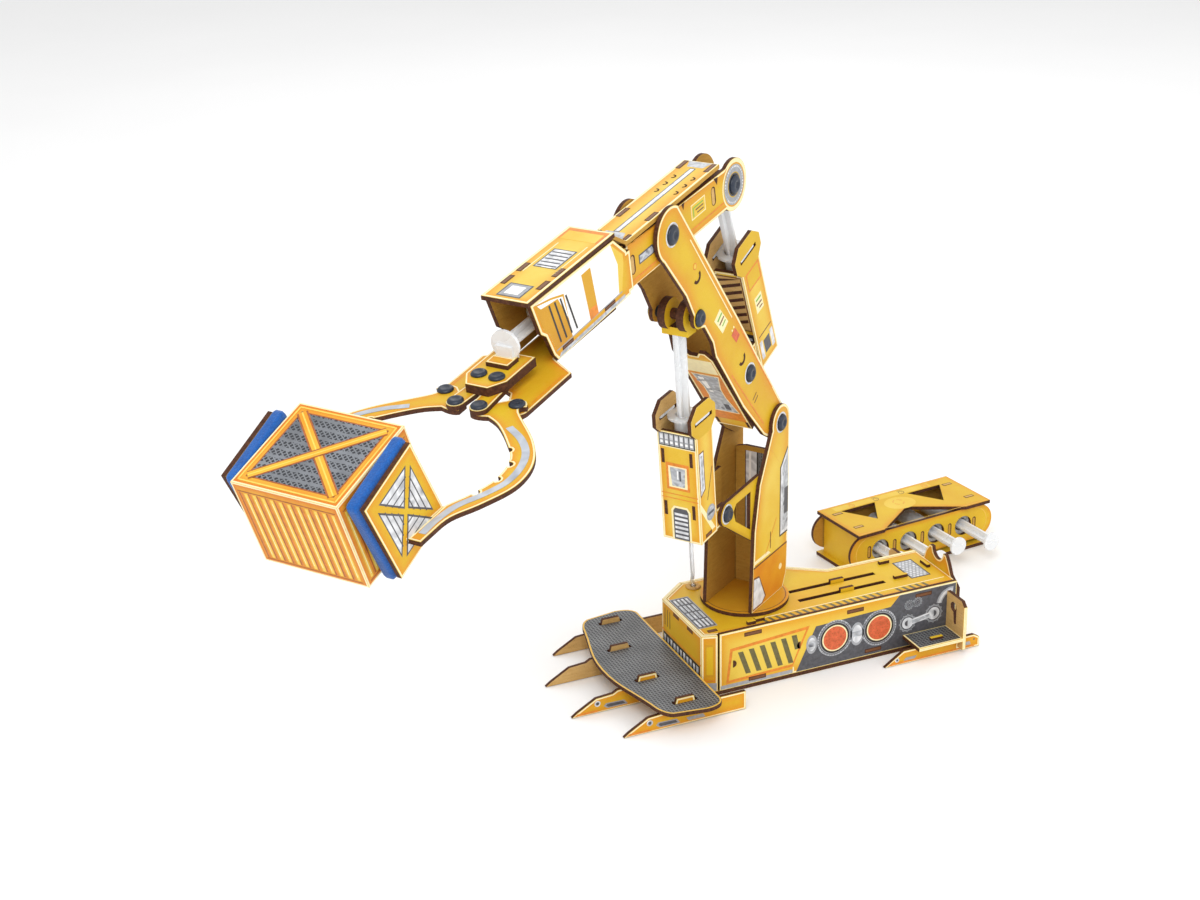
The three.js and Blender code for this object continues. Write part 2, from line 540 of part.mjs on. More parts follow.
function buildGripper(forearm) {
  const floorTop = GRIP_FLOOR + BOARD;
  const base = new THREE.Shape();
  const edge = CLAW_PIVOT.y + 7;
  base.moveTo(70, -HOUSING_W + 4);
  base.lineTo(146, -HOUSING_W + 4);
  base.lineTo(158, -edge);
  base.lineTo(CLAW_PIVOT.x - 2, -edge);
  base.absarc(CLAW_PIVOT.x, -CLAW_PIVOT.y, 7, -Math.PI / 2, Math.PI / 3, false);
  base.lineTo(193, -11);
  base.lineTo(188, 0);
  base.lineTo(193, 11);
  base.absarc(CLAW_PIVOT.x, CLAW_PIVOT.y, 7, -Math.PI / 3, Math.PI / 2, false);
  base.lineTo(158, edge);
  base.lineTo(146, HOUSING_W - 4);
  base.lineTo(70, HOUSING_W - 4);
  add(forearm, 'gripper_base_plate', flat(base, GRIP_FLOOR), yellowBoard);

  const clawFoot = floorTop + GAP;
  const linkFoot = clawFoot + BOARD + GAP;
  const sliderFoot = linkFoot + BOARD + GAP;
  [['near', 1], ['far', -1]].forEach(([side, sign]) => {
    const flip = (geometry) => (sign > 0 ? geometry : mirrored(geometry));
    const claw = flat(clawOutline(), clawFoot, BOARD, 5);
    const notches = [[254, 49.5], [267, 58.5], [283, 60.5], [299, 57]].map(([x, y]) =>
      new THREE.CylinderGeometry(2.6, 2.6, 8, 10).rotateX(Math.PI / 2).translate(x, y, clawFoot + 1.5));
    const board = box(-PAD.length / 2, PAD.length / 2, 0, BOARD, -PAD.height / 2, PAD.height / 2);
    const boardFoot = CRATE.width / 2 + GAP + PAD.foam + GAP;
    board.rotateY(PAD.pitch).translate(CRATE.x, boardFoot, CRATE.z);
    const tongue = box(336, 352, boardFoot + 1, 57, clawFoot, clawFoot + BOARD);
    add(forearm, `claw_${side}`, flip(join(cut(claw, ...notches), board, tongue)), yellowBoard);

    const foam = new THREE.BoxGeometry(PAD.length + 4, PAD.foam, PAD.height + 4)
      .rotateY(PAD.pitch)
      .translate(CRATE.x, CRATE.width / 2 + GAP + PAD.foam / 2, CRATE.z);
    add(forearm, `foam_pad_${side}`, flip(foam), blueFoam);

    const run = new THREE.Vector2(LINK_END.x - SLIDER_RIVET.x, LINK_END.y - SLIDER_RIVET.y);
    const link = flat(stadium(0, run.length(), 0, 6), linkFoot, BOARD, 6)
      .rotateZ(run.angle())
      .translate(SLIDER_RIVET.x, SLIDER_RIVET.y, 0);
    add(forearm, `link_${side}`, flip(link), yellowBoard);
  });

  // the slider: two boards on the plunger's thumb flange, pushed along by the syringe
  const plate = polygon([[168, -15], [200, -15], [211, -8], [211, 8], [200, 15], [168, 15]]);
  const slider = flat(plate, sliderFoot, 2 * BOARD);
  const tongueTab = box(176, 188, -8, 8, sliderFoot + 5, sliderFoot + 9);
  const stem = plungerStem(112, 176).rotateY(Math.PI / 2).rotateX(Math.PI / 2);
  const flange = new THREE.CylinderGeometry(10, 10, 2.4, 20)
    .rotateZ(Math.PI / 2)
    .translate(176, 0, SYRINGE_LIFT);
  const neck = box(172, 179, -6, 6, sliderFoot + 1, SYRINGE_LIFT);
  stem.translate(0, 0, SYRINGE_LIFT);
  add(forearm, 'gripper_slider', join(slider, tongueTab, stem, flange, neck), yellowBoard);
  const barrel = syringeBarrel(72, 132).rotateY(Math.PI / 2).translate(0, 0, SYRINGE_LIFT);
  add(forearm, 'gripper_cylinder', barrel, clearPlastic);
}

function buildCrate(forearm) {
  const { x, z, length, width, height, wall, pitch } = CRATE;
  const group = place(forearm, { x, z }, pitch);
  const shell = box(-length / 2, length / 2, -width / 2, width / 2, -height / 2, height / 2);
  const hollow = box(-length / 2 + wall, length / 2 - wall, -width / 2 + wall, width / 2 - wall,
    -height / 2 - 1, height / 2 - wall);
  add(group, 'crate', cut(shell, hollow), crateBoard);
}

// ---- console ------------------------------------------------------------------------------
function buildConsole() {
  const { length, width, top } = CONSOLE;
  const consoleGroup = place(kit, { x: CONSOLE.x, y: CONSOLE.y }, 0, CONSOLE.yaw);
  const half = length / 2;
  const depth = width / 2;
  const windows = [
    [[-54, -19], [-18, -19], [-36, 10]],
    [[18, -19], [54, -19], [36, 10]],
    [[0, 3], [46, depth + 1], [-46, depth + 1]],
  ].map((corners) => flat(polygon(corners), top - BOARD - 1, BOARD + 2));
  const lid = box(-half, half, -depth, depth, top - BOARD, top);
  add(consoleGroup, 'console_lid', cut(lid, ...windows), deckBoard);

  const endX = half - 5;
  const tray = join(
    box(-half, half, -depth, depth, 0, BOARD),
    box(-endX, -endX + BOARD, -depth + 4, depth - 8, BOARD / 2, top - BOARD - GAP),
    box(endX - BOARD, endX, -depth + 4, depth - 8, BOARD / 2, top - BOARD - GAP),
  );
  add(consoleGroup, 'console_tray', tray, yellowBoard);

  const centre = 22;
  const syringes = [-1.5, -0.5, 0.5, 1.5].map((k) => k * CONSOLE_PITCH);
  const rail = (y, holeR) => {
    const shape = stadium(-half + 10, half - 10, centre, 16);
    syringes.forEach((x) => circleHole(shape, x, centre, holeR));
    return upright(shape, y);
  };
  add(consoleGroup, 'console_front_panel', rail(depth - 7, CONSOLE_HOLE_R), yellowBoard);
  add(consoleGroup, 'console_rear_panel', rail(-depth, 3.2), yellowBoard);

  // how far each plunger stands out of its flange, and where its piston is inside the barrel
  const flangeY = depth - 9.4;
  const barrelFoot = -26;
  const plungers = [
    { out: 44, piston: 12 }, { out: 36, piston: 1 }, { out: 48, piston: 1 }, { out: 32, piston: -10 },
  ];
  syringes.forEach((x, k) => {
    const { out, piston } = plungers[k];
    const barrel = syringeBarrel(barrelFoot, flangeY).rotateX(-Math.PI / 2).translate(x, 0, centre);
    add(consoleGroup, `master_barrel_${k + 1}`, barrel, clearPlastic);
    const thumb = new THREE.CylinderGeometry(8, 8, 2, 20).rotateX(Math.PI / 2).translate(0, 0, flangeY + out);
    const plunger = join(plungerStem(piston, flangeY + out), thumb)
      .rotateX(-Math.PI / 2)
      .translate(x, 0, centre);
    add(consoleGroup, `master_plunger_${k + 1}`, plunger, whitePlastic);
  });
}

// ---- hose ---------------------------------------------------------------------------------
// clear tube from just below the front cylinder's nipple, which tilts over it, down to the deck's hole
function buildHose() {
  const route = [
    [86.9, 0, 145.6], [86.2, 0, 138], [82, -2, 122], [66, -10, 98], [42, -24, 78], [20, -36, 64],
    [7, -42.5, 56.5], [4.4, -43.7, 52.6],
  ].map(([x, y, z]) => new THREE.Vector3(x, y, z));
  const section = new THREE.Shape();
  section.absarc(0, 0, HOSE_R, 0, 2 * Math.PI, false);
  const hose = new THREE.ExtrudeGeometry(section, {
    steps: 24, curveSegments: 4, bevelEnabled: false, extrudePath: new THREE.CatmullRomCurve3(route),
  });
  add(arm, 'hose', hose, clearPlastic);
}

buildBase();
buildForks();
buildTurntableDrive();
buildColumn();
buildFrontCylinder();
const boom = buildBoom();
buildRearCylinder(boom);
const forearm = buildForearm(boom);
buildGripper(forearm);
buildCrate(forearm);
buildConsole();
buildHose();

export default kit;
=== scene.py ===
"""Looks of the hydraulic arm kit: printed board, cut edges, syringes, rivets, foam pads and the crate.

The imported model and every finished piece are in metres.
"""
import json
import math
import random

import bmesh
import bpy
from mathutils import Matrix, Vector
from mathutils.geometry import tessellate_polygon

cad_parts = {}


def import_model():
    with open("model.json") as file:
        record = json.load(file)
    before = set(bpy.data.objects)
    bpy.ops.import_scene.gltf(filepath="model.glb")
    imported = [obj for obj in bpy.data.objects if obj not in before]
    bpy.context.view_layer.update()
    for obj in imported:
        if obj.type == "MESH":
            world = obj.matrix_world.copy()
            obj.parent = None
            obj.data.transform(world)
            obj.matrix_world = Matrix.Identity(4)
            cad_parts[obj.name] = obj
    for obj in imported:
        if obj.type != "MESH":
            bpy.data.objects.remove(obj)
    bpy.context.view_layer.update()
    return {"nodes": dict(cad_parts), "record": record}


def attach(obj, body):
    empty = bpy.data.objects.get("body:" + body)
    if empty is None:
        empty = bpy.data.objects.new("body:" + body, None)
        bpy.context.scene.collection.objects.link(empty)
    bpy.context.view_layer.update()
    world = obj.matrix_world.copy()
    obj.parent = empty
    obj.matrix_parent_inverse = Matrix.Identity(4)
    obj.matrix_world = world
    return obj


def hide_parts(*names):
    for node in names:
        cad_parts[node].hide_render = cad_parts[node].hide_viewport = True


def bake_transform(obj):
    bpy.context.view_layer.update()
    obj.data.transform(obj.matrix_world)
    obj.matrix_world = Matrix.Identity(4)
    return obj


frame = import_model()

MM = 0.001
NODES = frame["nodes"]
BODY_OF = {node: body for body, members in frame["record"]["behaviour"]["bodies"].items() for node in members}

BOARD = 3.0                     # thickness of the press-out board
GAP = 0.3                       # clearance between touching boards
SHEET_LIFT = 0.02               # a printed sheet's height over its board
SHEET_DEPTH = 0.1
SHEET_CELL = 5.0                # cell of the grid that a sheet is cut into
SHEET_FACET = 90                # smallest facet with a printed sheet, in square millimetres
SMALL_FACET = 12                # smaller facets look like cut edge
INK_LIFT = 0.08                 # the lowest ink's height over its board, clear of the printed sheet
INK_STEP = 0.05                 # from one layer of ink to the next
INK_DEPTH = 0.045
BASE_FOOT = 3.9                 # lower edge of the base's side boards, just over the base board
DECK_TOP = 51
NEAR_Y = 50                     # outer face of the near side panel
FRONT_X = 60                    # outer face of the front panel
NARROW_Y = -15                  # outer face of the narrow rear part's far side
FOOT_OUT = 17                   # from a side panel to the middle of its rear foot's blade
TREAD_TOP = 14                  # top of a rear foot's tread plate
ARM_YAW = 0.62
SHOULDER = (-18, 0, 197.5)
BOOM_LEAN = 0.697
BOOM_LENGTH = 249.5
FRONT_PIN = (63.5, 0, 152.3)
FRONT_TILT = 0.0925
FRONT_AXIS = 24                 # the front cylinder's axis, ahead of its pin
FRONT_REACH = 169               # from its pin to its clevis, along the cylinder
# a housing's half width, its depth from the axis, and the height where its ears begin
FRONT_HOUSING = {"half": 16, "depth": 12, "top": 81}
REAR_TILT = 0.384
REAR_AXIS = -38.9
REAR_REACH = 144
REAR_HOUSING = {"half": 13, "depth": 14, "top": 72}
REAR_PIN_ALONG = 71.3
MID_PIVOT = (16.5, 172)         # where the front cylinder takes hold of the boom
WALL_X = -19                    # front face of the column's rear wall
COVER_X = 23                    # outer face of the boom's cover board
FOREARM_PITCH = 0.166
TAIL = (-96.2, -5.1)            # the rear cylinder's pivot, in the forearm's frame
COLUMN_W = 21.5                 # from the arm's middle plane to the column's outer faces
BRACKET_W = 18.2                # and to those of the brackets,
BOOM_W = 18                     # of the boom,
CLEVIS_W = 12.4                 # of the front cylinder's clevis,
EYE_W = 5.4                     # of the rear cylinder's eye,
TAIL_W = 14                     # of the forearm's narrow tail
HOUSING_W = 16.5                # and of its wide housing
TAIL_ROOF = 17.8                # height of the roof over the forearm's tail
HOUSING_ROOF = 32.3             # and over its housing
CRATE = {"x": 349.5, "z": 0.6, "length": 66, "width": 72, "height": 60, "pitch": 0.21}
PAD = {"length": 48, "height": 58, "foam": 9, "pitch": 0.33}
CLAW_PIVOT = (208, 26)          # rivets of the gripper's near side, in the forearm's frame
LINK_END = (222, 8.5)
SLIDER_RIVET = (198, 6.5)
GRIP_FLOOR = -22                # underside of the gripper's base plate
CLAW_TOP = GRIP_FLOOR + 2 * BOARD + GAP
LINK_TOP = CLAW_TOP + BOARD + GAP
SLIDER_TOP = LINK_TOP + 2 * BOARD + GAP
CONSOLE = {"x": -214, "y": -112, "yaw": 0.109, "width": 62, "top": 42}
CONSOLE_AXIS = 22               # height of the console's syringes
SIDES = (("near", 1), ("far", -1))


def shift(x=0, y=0, z=0):
    return Matrix.Translation((x, y, z))


def turn(angle, axis):
    return Matrix.Rotation(angle, 4, axis)


ROOT = Matrix.Identity(4)
ARM = turn(ARM_YAW, "Z")
FRONT = ARM @ shift(*FRONT_PIN) @ turn(FRONT_TILT, "Y")
BOOM = ARM @ shift(*SHOULDER) @ turn(BOOM_LEAN, "Y")
REAR = BOOM @ shift(0, 0, REAR_PIN_ALONG) @ turn(REAR_TILT - BOOM_LEAN, "Y")
FOREARM = BOOM @ shift(0, 0, BOOM_LENGTH) @ turn(FOREARM_PITCH - BOOM_LEAN, "Y")
CRATE_FRAME = FOREARM @ shift(CRATE["x"], 0, CRATE["z"]) @ turn(CRATE["pitch"], "Y")
CONSOLE_FRAME = shift(CONSOLE["x"], CONSOLE["y"], 0) @ turn(CONSOLE["yaw"], "Z")


# ---- flat outlines -------------------------------------------------------------------------------
def circle(r, sides, start=0.0, sweep=2 * math.pi):
    """Points round the origin, the first one at the start angle."""
    return [(r * math.cos(start + sweep * k / sides), r * math.sin(start + sweep * k / sides))
            for k in range(sides)]


def disc_outline(x, y, r, sides=28, squash=1.0):
    """A disc, or an oval where squash stretches or flattens it."""
    return [(x + a, y + squash * b) for a, b in circle(r, sides)]


def rect(x0, x1, y0, y1):
    return slanted(x0, x1, y0, y1, 0)


def slanted(x0, x1, y0, y1, lean):
    return [(x0, y0), (x1, y0), (x1 + lean, y1), (x0 + lean, y1)]


def capsule(x, y, half_width, half_height, sides=8):
    """A bar with round ends, upright or lying."""
    r = min(half_width, half_height)
    start = -math.pi / 2 if half_width > half_height else 0
    half = [(half_width - r + r * math.cos(start + math.pi * k / sides),
             half_height - r + r * math.sin(start + math.pi * k / sides)) for k in range(sides + 1)]
    return [(x + a, y + b) for a, b in half] + [(x - a, y - b) for a, b in half]


def ring_outline(x, y, inner, outer, sides=32, start=0.0, sweep=2 * math.pi):
    """A flat ring as one closed outline, split by a hairline."""
    steps = [start + sweep * k / sides for k in range(sides + 1)]
    out = [(x + outer * math.cos(a), y + outer * math.sin(a)) for a in steps]
    back = [(x + inner * math.cos(a), y + inner * math.sin(a)) for a in reversed(steps)]
    return out + back


# ---- camera --------------------------------------------------------------------------------------
def make_camera():
    azimuth, elevation, roll = math.radians(156.6), math.radians(22.1), math.radians(-1.08)
    back = Vector((math.sin(azimuth) * math.cos(elevation), -math.cos(azimuth) * math.cos(elevation),
                   math.sin(elevation)))
    right = Vector((0, 0, 1)).cross(back).normalized()
    up = back.cross(right)
    right, up = (right * math.cos(roll) + up * math.sin(roll),
                 up * math.cos(roll) - right * math.sin(roll))
    data = bpy.data.cameras.new("camera")
    data.sensor_width = 36
    data.lens = 60.5
    data.shift_x, data.shift_y = -0.021, -0.0213
    data.clip_end = 20
    camera = bpy.data.objects.new("camera", data)
    pose = Matrix((right, up, back)).transposed().to_4x4()
    pose.translation = Vector((649.9, 1271.2, 778.4)) * MM
    camera.matrix_world = pose
    bpy.context.scene.collection.objects.link(camera)
    bpy.context.scene.camera = camera


make_camera()


# ---- materials -----------------------------------------------------------------------------------
class Nodes:
    """Small builder for one material's node tree."""

    def __init__(self, name, **sockets):
        self.material = bpy.data.materials.new(name)
        self.material.use_nodes = True
        self.tree = self.material.node_tree
        self.shader = self.tree.nodes["Principled BSDF"]
        for socket, value in sockets.items():
            self.shader.inputs[socket.replace("_", " ")].default_value = value
        self.coords = self.tree.nodes.new("ShaderNodeTexCoord").outputs["Object"]

    def add(self, kind, inputs=None, **settings):
        node = self.tree.nodes.new(kind)
        for key, value in settings.items():
            setattr(node, key, value)
        for key, value in (inputs or {}).items():
            if isinstance(value, bpy.types.NodeSocket):
                self.tree.links.new(value, node.inputs[key])
            else:
                node.inputs[key].default_value = value
        return node

    def noise(self, scale, detail=4, roughness=0.55, stretch=None):
        vector = self.coords
        if stretch:
            vector = self.add("ShaderNodeMapping", {"Vector": vector, "Scale": stretch}).outputs[0]
        return self.add("ShaderNodeTexNoise", {"Vector": vector, "Scale": scale, "Detail": detail,
                                               "Roughness": roughness}).outputs["Fac"]

    def ramp(self, factor, *stops):
        node = self.add("ShaderNodeValToRGB", {"Fac": factor})
        elements = node.color_ramp.elements
        while len(elements) < len(stops):
            elements.new(0.5)
        for element, (place, color) in zip(elements, stops):
            element.position = place
            element.color = (*color, 1)
        return node.outputs["Color"]

    def mix(self, factor, a, b):
        node = self.add("ShaderNodeMix", data_type="RGBA")
        for key, value in ((0, factor), (6, a), (7, b)):
            if isinstance(value, bpy.types.NodeSocket):
                self.tree.links.new(value, node.inputs[key])
            elif key:
                node.inputs[key].default_value = (*value, 1)
            else:
                node.inputs[key].default_value = value
        return node.outputs[2]

    def math(self, operation, a, b):
        return self.add("ShaderNodeMath", {0: a, 1: b}, operation=operation).outputs[0]

    def finish(self, color, rough, bump):
        """Joins up the shader: rough is a factor with its lowest and highest value, bump a height with its
        strength and distance."""
        wear = self.add("ShaderNodeMapRange", {"Value": rough[0], "To Min": rough[1], "To Max": rough[2]})
        relief = self.add("ShaderNodeBump", {"Height": bump[0], "Strength": bump[1], "Distance": bump[2]})
        if color:
            self.tree.links.new(color, self.shader.inputs["Base Color"])
        self.tree.links.new(wear.outputs[0], self.shader.inputs["Roughness"])
        self.tree.links.new(relief.outputs[0], self.shader.inputs["Normal"])
        return self.material


def times(factor, color):
    return tuple(factor * c for c in color)


def printed(name, light, dark, deep):
    """Printed board: two inks fading into each other, darker airbrushed rims, fine paper tooth."""
    m = Nodes(name, Specular_IOR_Level=0.2)
    base = m.ramp(m.noise(22, 3), (0.34, dark), (0.62, light))
    rim = m.add("ShaderNodeAttribute", attribute_name="rim").outputs["Fac"]
    speck = m.noise(1500, 2)
    flecks = m.ramp(speck, (0.3, (0.2, 0.08, 0.01)), (0.7, (1, 0.8, 0.3)))
    color = m.mix(0.05, m.mix(rim, base, deep), flecks)
    return m.finish(color, (m.noise(260, 3), 0.36, 0.52), (speck, 0.12, 0.0001))


def cut_edge():
    """Laser-cut board edge: charred brown, mottled."""
    m = Nodes("cut_edge", Specular_IOR_Level=0.25)
    char = m.noise(420, 5, 0.7)
    color = m.ramp(char, (0.3, (0.035, 0.012, 0.006)), (0.55, (0.085, 0.03, 0.013)),
                   (0.8, (0.17, 0.07, 0.03)))
    return m.finish(color, (char, 0.6, 0.85), (m.noise(900, 3), 0.35, 0.0002))


def bare_board(name, light, dark):
    """Unprinted fibreboard: fine fibres and small dark flecks."""
    m = Nodes(name, Specular_IOR_Level=0.2)
    fibre = m.noise(90, 6, 0.7, (1, 1, 6))
    fleck = m.noise(1400, 2)
    tone = m.ramp(fibre, (0.3, dark), (0.7, light))
    color = m.mix(m.math("GREATER_THAN", fleck, 0.66), tone, times(0.6, dark))
    return m.finish(color, (fibre, 0.62, 0.8), (fleck, 0.25, 0.0001))


def ink(name, color, variation):
    """One flat printed ink with the slight mottle of the board under it."""
    m = Nodes(name, Specular_IOR_Level=0.4)
    mottle = m.noise(320, 4)
    lighter = tuple(min(1, c * (1 + variation) + 0.01) for c in color)
    color = m.ramp(mottle, (0.3, times(1 - variation, color)), (0.7, lighter))
    return m.finish(color, (mottle, 0.4, 0.57), (m.noise(1500, 2), 0.12, 0.0001))


def metal_print(name, light, dark, scale=140):
    """The grey airbrushed metal of the printed windows and panels."""
    m = Nodes(name, Specular_IOR_Level=0.4)
    streak = m.noise(scale, 1.5, 0.4)
    middle = tuple(0.5 * (a + b) for a, b in zip(light, dark))
    color = m.ramp(streak, (0.26, dark), (0.44, light), (0.56, middle), (0.74, light))
    return m.finish(color, (streak, 0.38, 0.5), (m.noise(1500, 2), 0.12, 0.0001))


def weave(name, base, thread, pitch):
    """The printed dark mesh of the tread plate and the crate's panels."""
    m = Nodes(name, Specular_IOR_Level=0.35)
    cells = m.add("ShaderNodeTexVoronoi", {"Vector": m.coords, "Scale": 1 / pitch, "Randomness": 0.15},
                  feature="DISTANCE_TO_EDGE").outputs["Distance"]
    lit = m.ramp(m.noise(45, 3), (0.3, times(0.55, thread)), (0.7, thread))
    color = m.mix(m.math("LESS_THAN", cells, 0.16), base, lit)
    return m.finish(color, (cells, 0.4, 0.6), (cells, 0.15, 0.0002))


def clear_plastic():
    m = Nodes("clear_plastic", Transmission_Weight=0.62, IOR=1.4, Base_Color=(0.96, 0.98, 1.0, 1))
    return m.finish(None, (m.noise(60, 2), 0.08, 0.15), (m.noise(90, 1), 0.015, 0.0002))


def white_plastic():
    m = Nodes("white_plastic", Transmission_Weight=0.2, IOR=1.4)
    haze = m.noise(40, 2)
    color = m.ramp(haze, (0.3, (0.89, 0.91, 0.93)), (0.7, (0.93, 0.945, 0.955)))
    return m.finish(color, (haze, 0.2, 0.36), (m.noise(500, 2), 0.06, 0.0002))


def foam():
    """Blue craft foam: open cells and a soft nap."""
    m = Nodes("foam", Specular_IOR_Level=0.15, Sheen_Weight=0.25, Sheen_Roughness=0.6)
    cells = m.add("ShaderNodeTexVoronoi", {"Vector": m.coords, "Scale": 900}).outputs["Distance"]
    tone = m.ramp(m.noise(70, 4), (0.3, (0.003, 0.085, 0.34)), (0.7, (0.008, 0.14, 0.52)))
    color = m.mix(m.math("MULTIPLY", cells, 0.6), tone, (0.004, 0.04, 0.2))
    return m.finish(color, (cells, 0.85, 0.98), (cells, 0.5, 0.0004))


def navy_plastic():
    m = Nodes("navy_plastic", Specular_IOR_Level=0.5)
    tone = m.noise(200, 3)
    color = m.ramp(tone, (0.3, (0.008, 0.013, 0.026)), (0.7, (0.016, 0.026, 0.048)))
    return m.finish(color, (tone, 0.3, 0.48), (m.noise(900, 3), 0.12, 0.0002))


YELLOW, AMBER, ORANGE = (0.70, 0.455, 0.014), (0.66, 0.37, 0.008), (0.68, 0.27, 0.008)
M = {
    "edge": cut_edge(),
    "yellow": printed("printed_yellow", YELLOW, AMBER, ORANGE),
    "amber": printed("printed_amber", (0.64, 0.33, 0.014), (0.56, 0.25, 0.01), (0.50, 0.18, 0.008)),
    "pale": printed("printed_pale", (0.78, 0.56, 0.08), (0.73, 0.46, 0.03), (0.70, 0.31, 0.010)),
    # inner board: the bare back board with painted shade, darker and more orange, for the backs that face
    # into the boxes
    "inner": bare_board("shaded_back_board", (0.56, 0.32, 0.06), (0.46, 0.24, 0.035)),
    "bare": bare_board("bare_board", (0.66, 0.43, 0.17), (0.54, 0.32, 0.10)),
    "cream": ink("cream_ink", (0.90, 0.78, 0.44), 0.05),
    "white": ink("white_ink", (0.90, 0.90, 0.88), 0.05),
    "black": ink("black_ink", (0.022, 0.018, 0.017), 0.3),
    "dark": ink("dark_ink", (0.075, 0.075, 0.085), 0.25),
    "grey": ink("grey_ink", (0.33, 0.34, 0.36), 0.15),
    "brown": ink("brown_ink", (0.16, 0.055, 0.012), 0.2),
    "olive": ink("olive_ink", (0.13, 0.11, 0.035), 0.2),
    "red": ink("red_ink", (0.60, 0.105, 0.03), 0.2),
    "orange": ink("orange_ink", (0.70, 0.22, 0.012), 0.15),
    "line": ink("line_ink", (0.74, 0.44, 0.05), 0.1),
    "mustard": printed("printed_mustard", (0.68, 0.425, 0.008), (0.64, 0.385, 0.008), (0.54, 0.30, 0.006)),
    "green": ink("green_ink", (0.18, 0.42, 0.05), 0.15),
    "deep_orange": printed("printed_deep", (0.72, 0.33, 0.014), (0.64, 0.21, 0.01), (0.52, 0.13, 0.008)),
    "crate": printed("crate_yellow", (0.80, 0.45, 0.04), (0.74, 0.31, 0.014), (0.66, 0.17, 0.01)),
    "crate_light": ink("crate_light", (0.84, 0.58, 0.09), 0.08),
    "crate_dark": ink("crate_dark", (0.66, 0.21, 0.012), 0.15),
    "rust": ink("rust_ink", (0.38, 0.10, 0.015), 0.25),
    "inlay": metal_print("inlay_print", (0.50, 0.54, 0.60), (0.30, 0.33, 0.38), 60),
    "mesh": weave("crate_mesh", (0.03, 0.032, 0.038), (0.24, 0.255, 0.28), 0.0024),
    "metal": metal_print("metal_print", (0.55, 0.57, 0.60), (0.12, 0.125, 0.14)),
    "silver": metal_print("silver_print", (0.78, 0.79, 0.81), (0.30, 0.31, 0.33), 90),
    "tread": weave("tread_weave", (0.022, 0.023, 0.026), (0.21, 0.215, 0.22), 0.0027),
    "clear": clear_plastic(),
    "milk": white_plastic(),
    "foam": foam(),
    "navy": navy_plastic(),
}
SLOT_OF = {"clear": "clear_plastic", "milk": "white_plastic", "foam": "foam", "navy": "dark_pin",
           "tread": "tread_board", "bare": "plain_board"}


# ---- stage ---------------------------------------------------------------------------------------
def make_stage():
    paper = Nodes("floor", Roughness=0.9, Specular_IOR_Level=0.1)
    tone = paper.ramp(paper.noise(3, 2), (0.2, (0.93, 0.93, 0.93)), (0.8, (0.95, 0.95, 0.95)))
    paper.tree.links.new(tone, paper.shader.inputs["Base Color"])
    mesh = bpy.data.meshes.new("floor")
    reach = 6
    mesh.from_pydata([(x, y, 0) for x, y in rect(-reach, reach, -reach, reach)], [], [(0, 1, 2, 3)])
    mesh.materials.append(paper.material)
    floor = bpy.data.objects.new("floor", mesh)
    floor.location.z = -0.0005
    bpy.context.scene.collection.objects.link(floor)
    studio = bpy.data.worlds.new("studio")
    bpy.context.scene.world = studio
    studio.use_nodes = True
    background = studio.node_tree.nodes["Background"]
    background.inputs["Color"].default_value = (1, 1, 1, 1)
    background.inputs["Strength"].default_value = 0.84
    aim = Vector((0.1, 0.1, 0.2))
    for name, place, power, size in (("key", (0.9, 1.5, 1.9), 25, 1.4), ("fill", (-1.5, 1.2, 1.2), 8, 1.6),
                                     ("rim", (-0.8, -1.6, 1.8), 11, 1.5)):
        data = bpy.data.lights.new(name, "AREA")
        data.energy = power
        data.size = size
        lamp = bpy.data.objects.new(name, data)
        lamp.location = place
        lamp.rotation_euler = (aim - Vector(place)).to_track_quat("-Z", "Y").to_euler()
        bpy.context.scene.collection.objects.link(lamp)
    bpy.context.scene.view_settings.view_transform = "Standard"


make_stage()


# ---- mesh helpers --------------------------------------------------------------------------------
def make_object(name, bm, *materials):
    """Turns a bmesh in millimetres into an object in metres."""
    mesh = bpy.data.meshes.new(name)
    bm.to_mesh(mesh)
    bm.free()
    mesh.transform(Matrix.Scale(MM, 4))
    for key in materials:
        mesh.materials.append(M[key])
    piece = bpy.data.objects.new(name, mesh)
    bpy.context.scene.collection.objects.link(piece)
    return piece


def emit(name, bm, body, *materials):
    """Makes a finished piece that rides on one body."""
    piece = make_object(name, bm, *materials)
    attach(piece, body)
    SLOT_OF.get(materials[0], "printed_board")
    return piece


def facets(bm):
    """Groups of neighbouring coplanar faces."""
    left = set(bm.faces)
    while left:
        seed = left.pop()
        group, front = [seed], [seed]
        while front:
            face = front.pop()
            for edge in face.edges:
                for other in edge.link_faces:
                    if other in left and other.normal.dot(seed.normal) > 0.9995:
                        left.discard(other)
                        group.append(other)
                        front.append(other)
        yield group


def narrow(group):
    """The facet's smallest width in its own plane, measured square to each of its outer edges."""
    inside = set(group)
    corners = {v for face in group for v in face.verts}
    widths = []
    for edge in {e for face in group for e in face.edges}:
        if sum(face in inside for face in edge.link_faces) == 1:
            across = group[0].normal.cross(edge.verts[1].co - edge.verts[0].co).normalized()
            reach = [v.co.dot(across) for v in corners]
            widths.append(max(reach) - min(reach))
    return min(widths, default=0)


def welded(node):
    """A copy of a CAD node with its split corners joined, in millimetres, keeping each face's number."""
    bm = bmesh.new()
    bm.from_mesh(NODES[node].data)
    number = bm.faces.layers.int.new("number")
    bm.faces.ensure_lookup_table()
    for face in bm.faces:
        face[number] = face.index
    bmesh.ops.scale(bm, vec=[1 / MM] * 3, verts=bm.verts)
    bmesh.ops.remove_doubles(bm, verts=bm.verts, dist=0.004)
    bm.normal_update()
    return bm, number


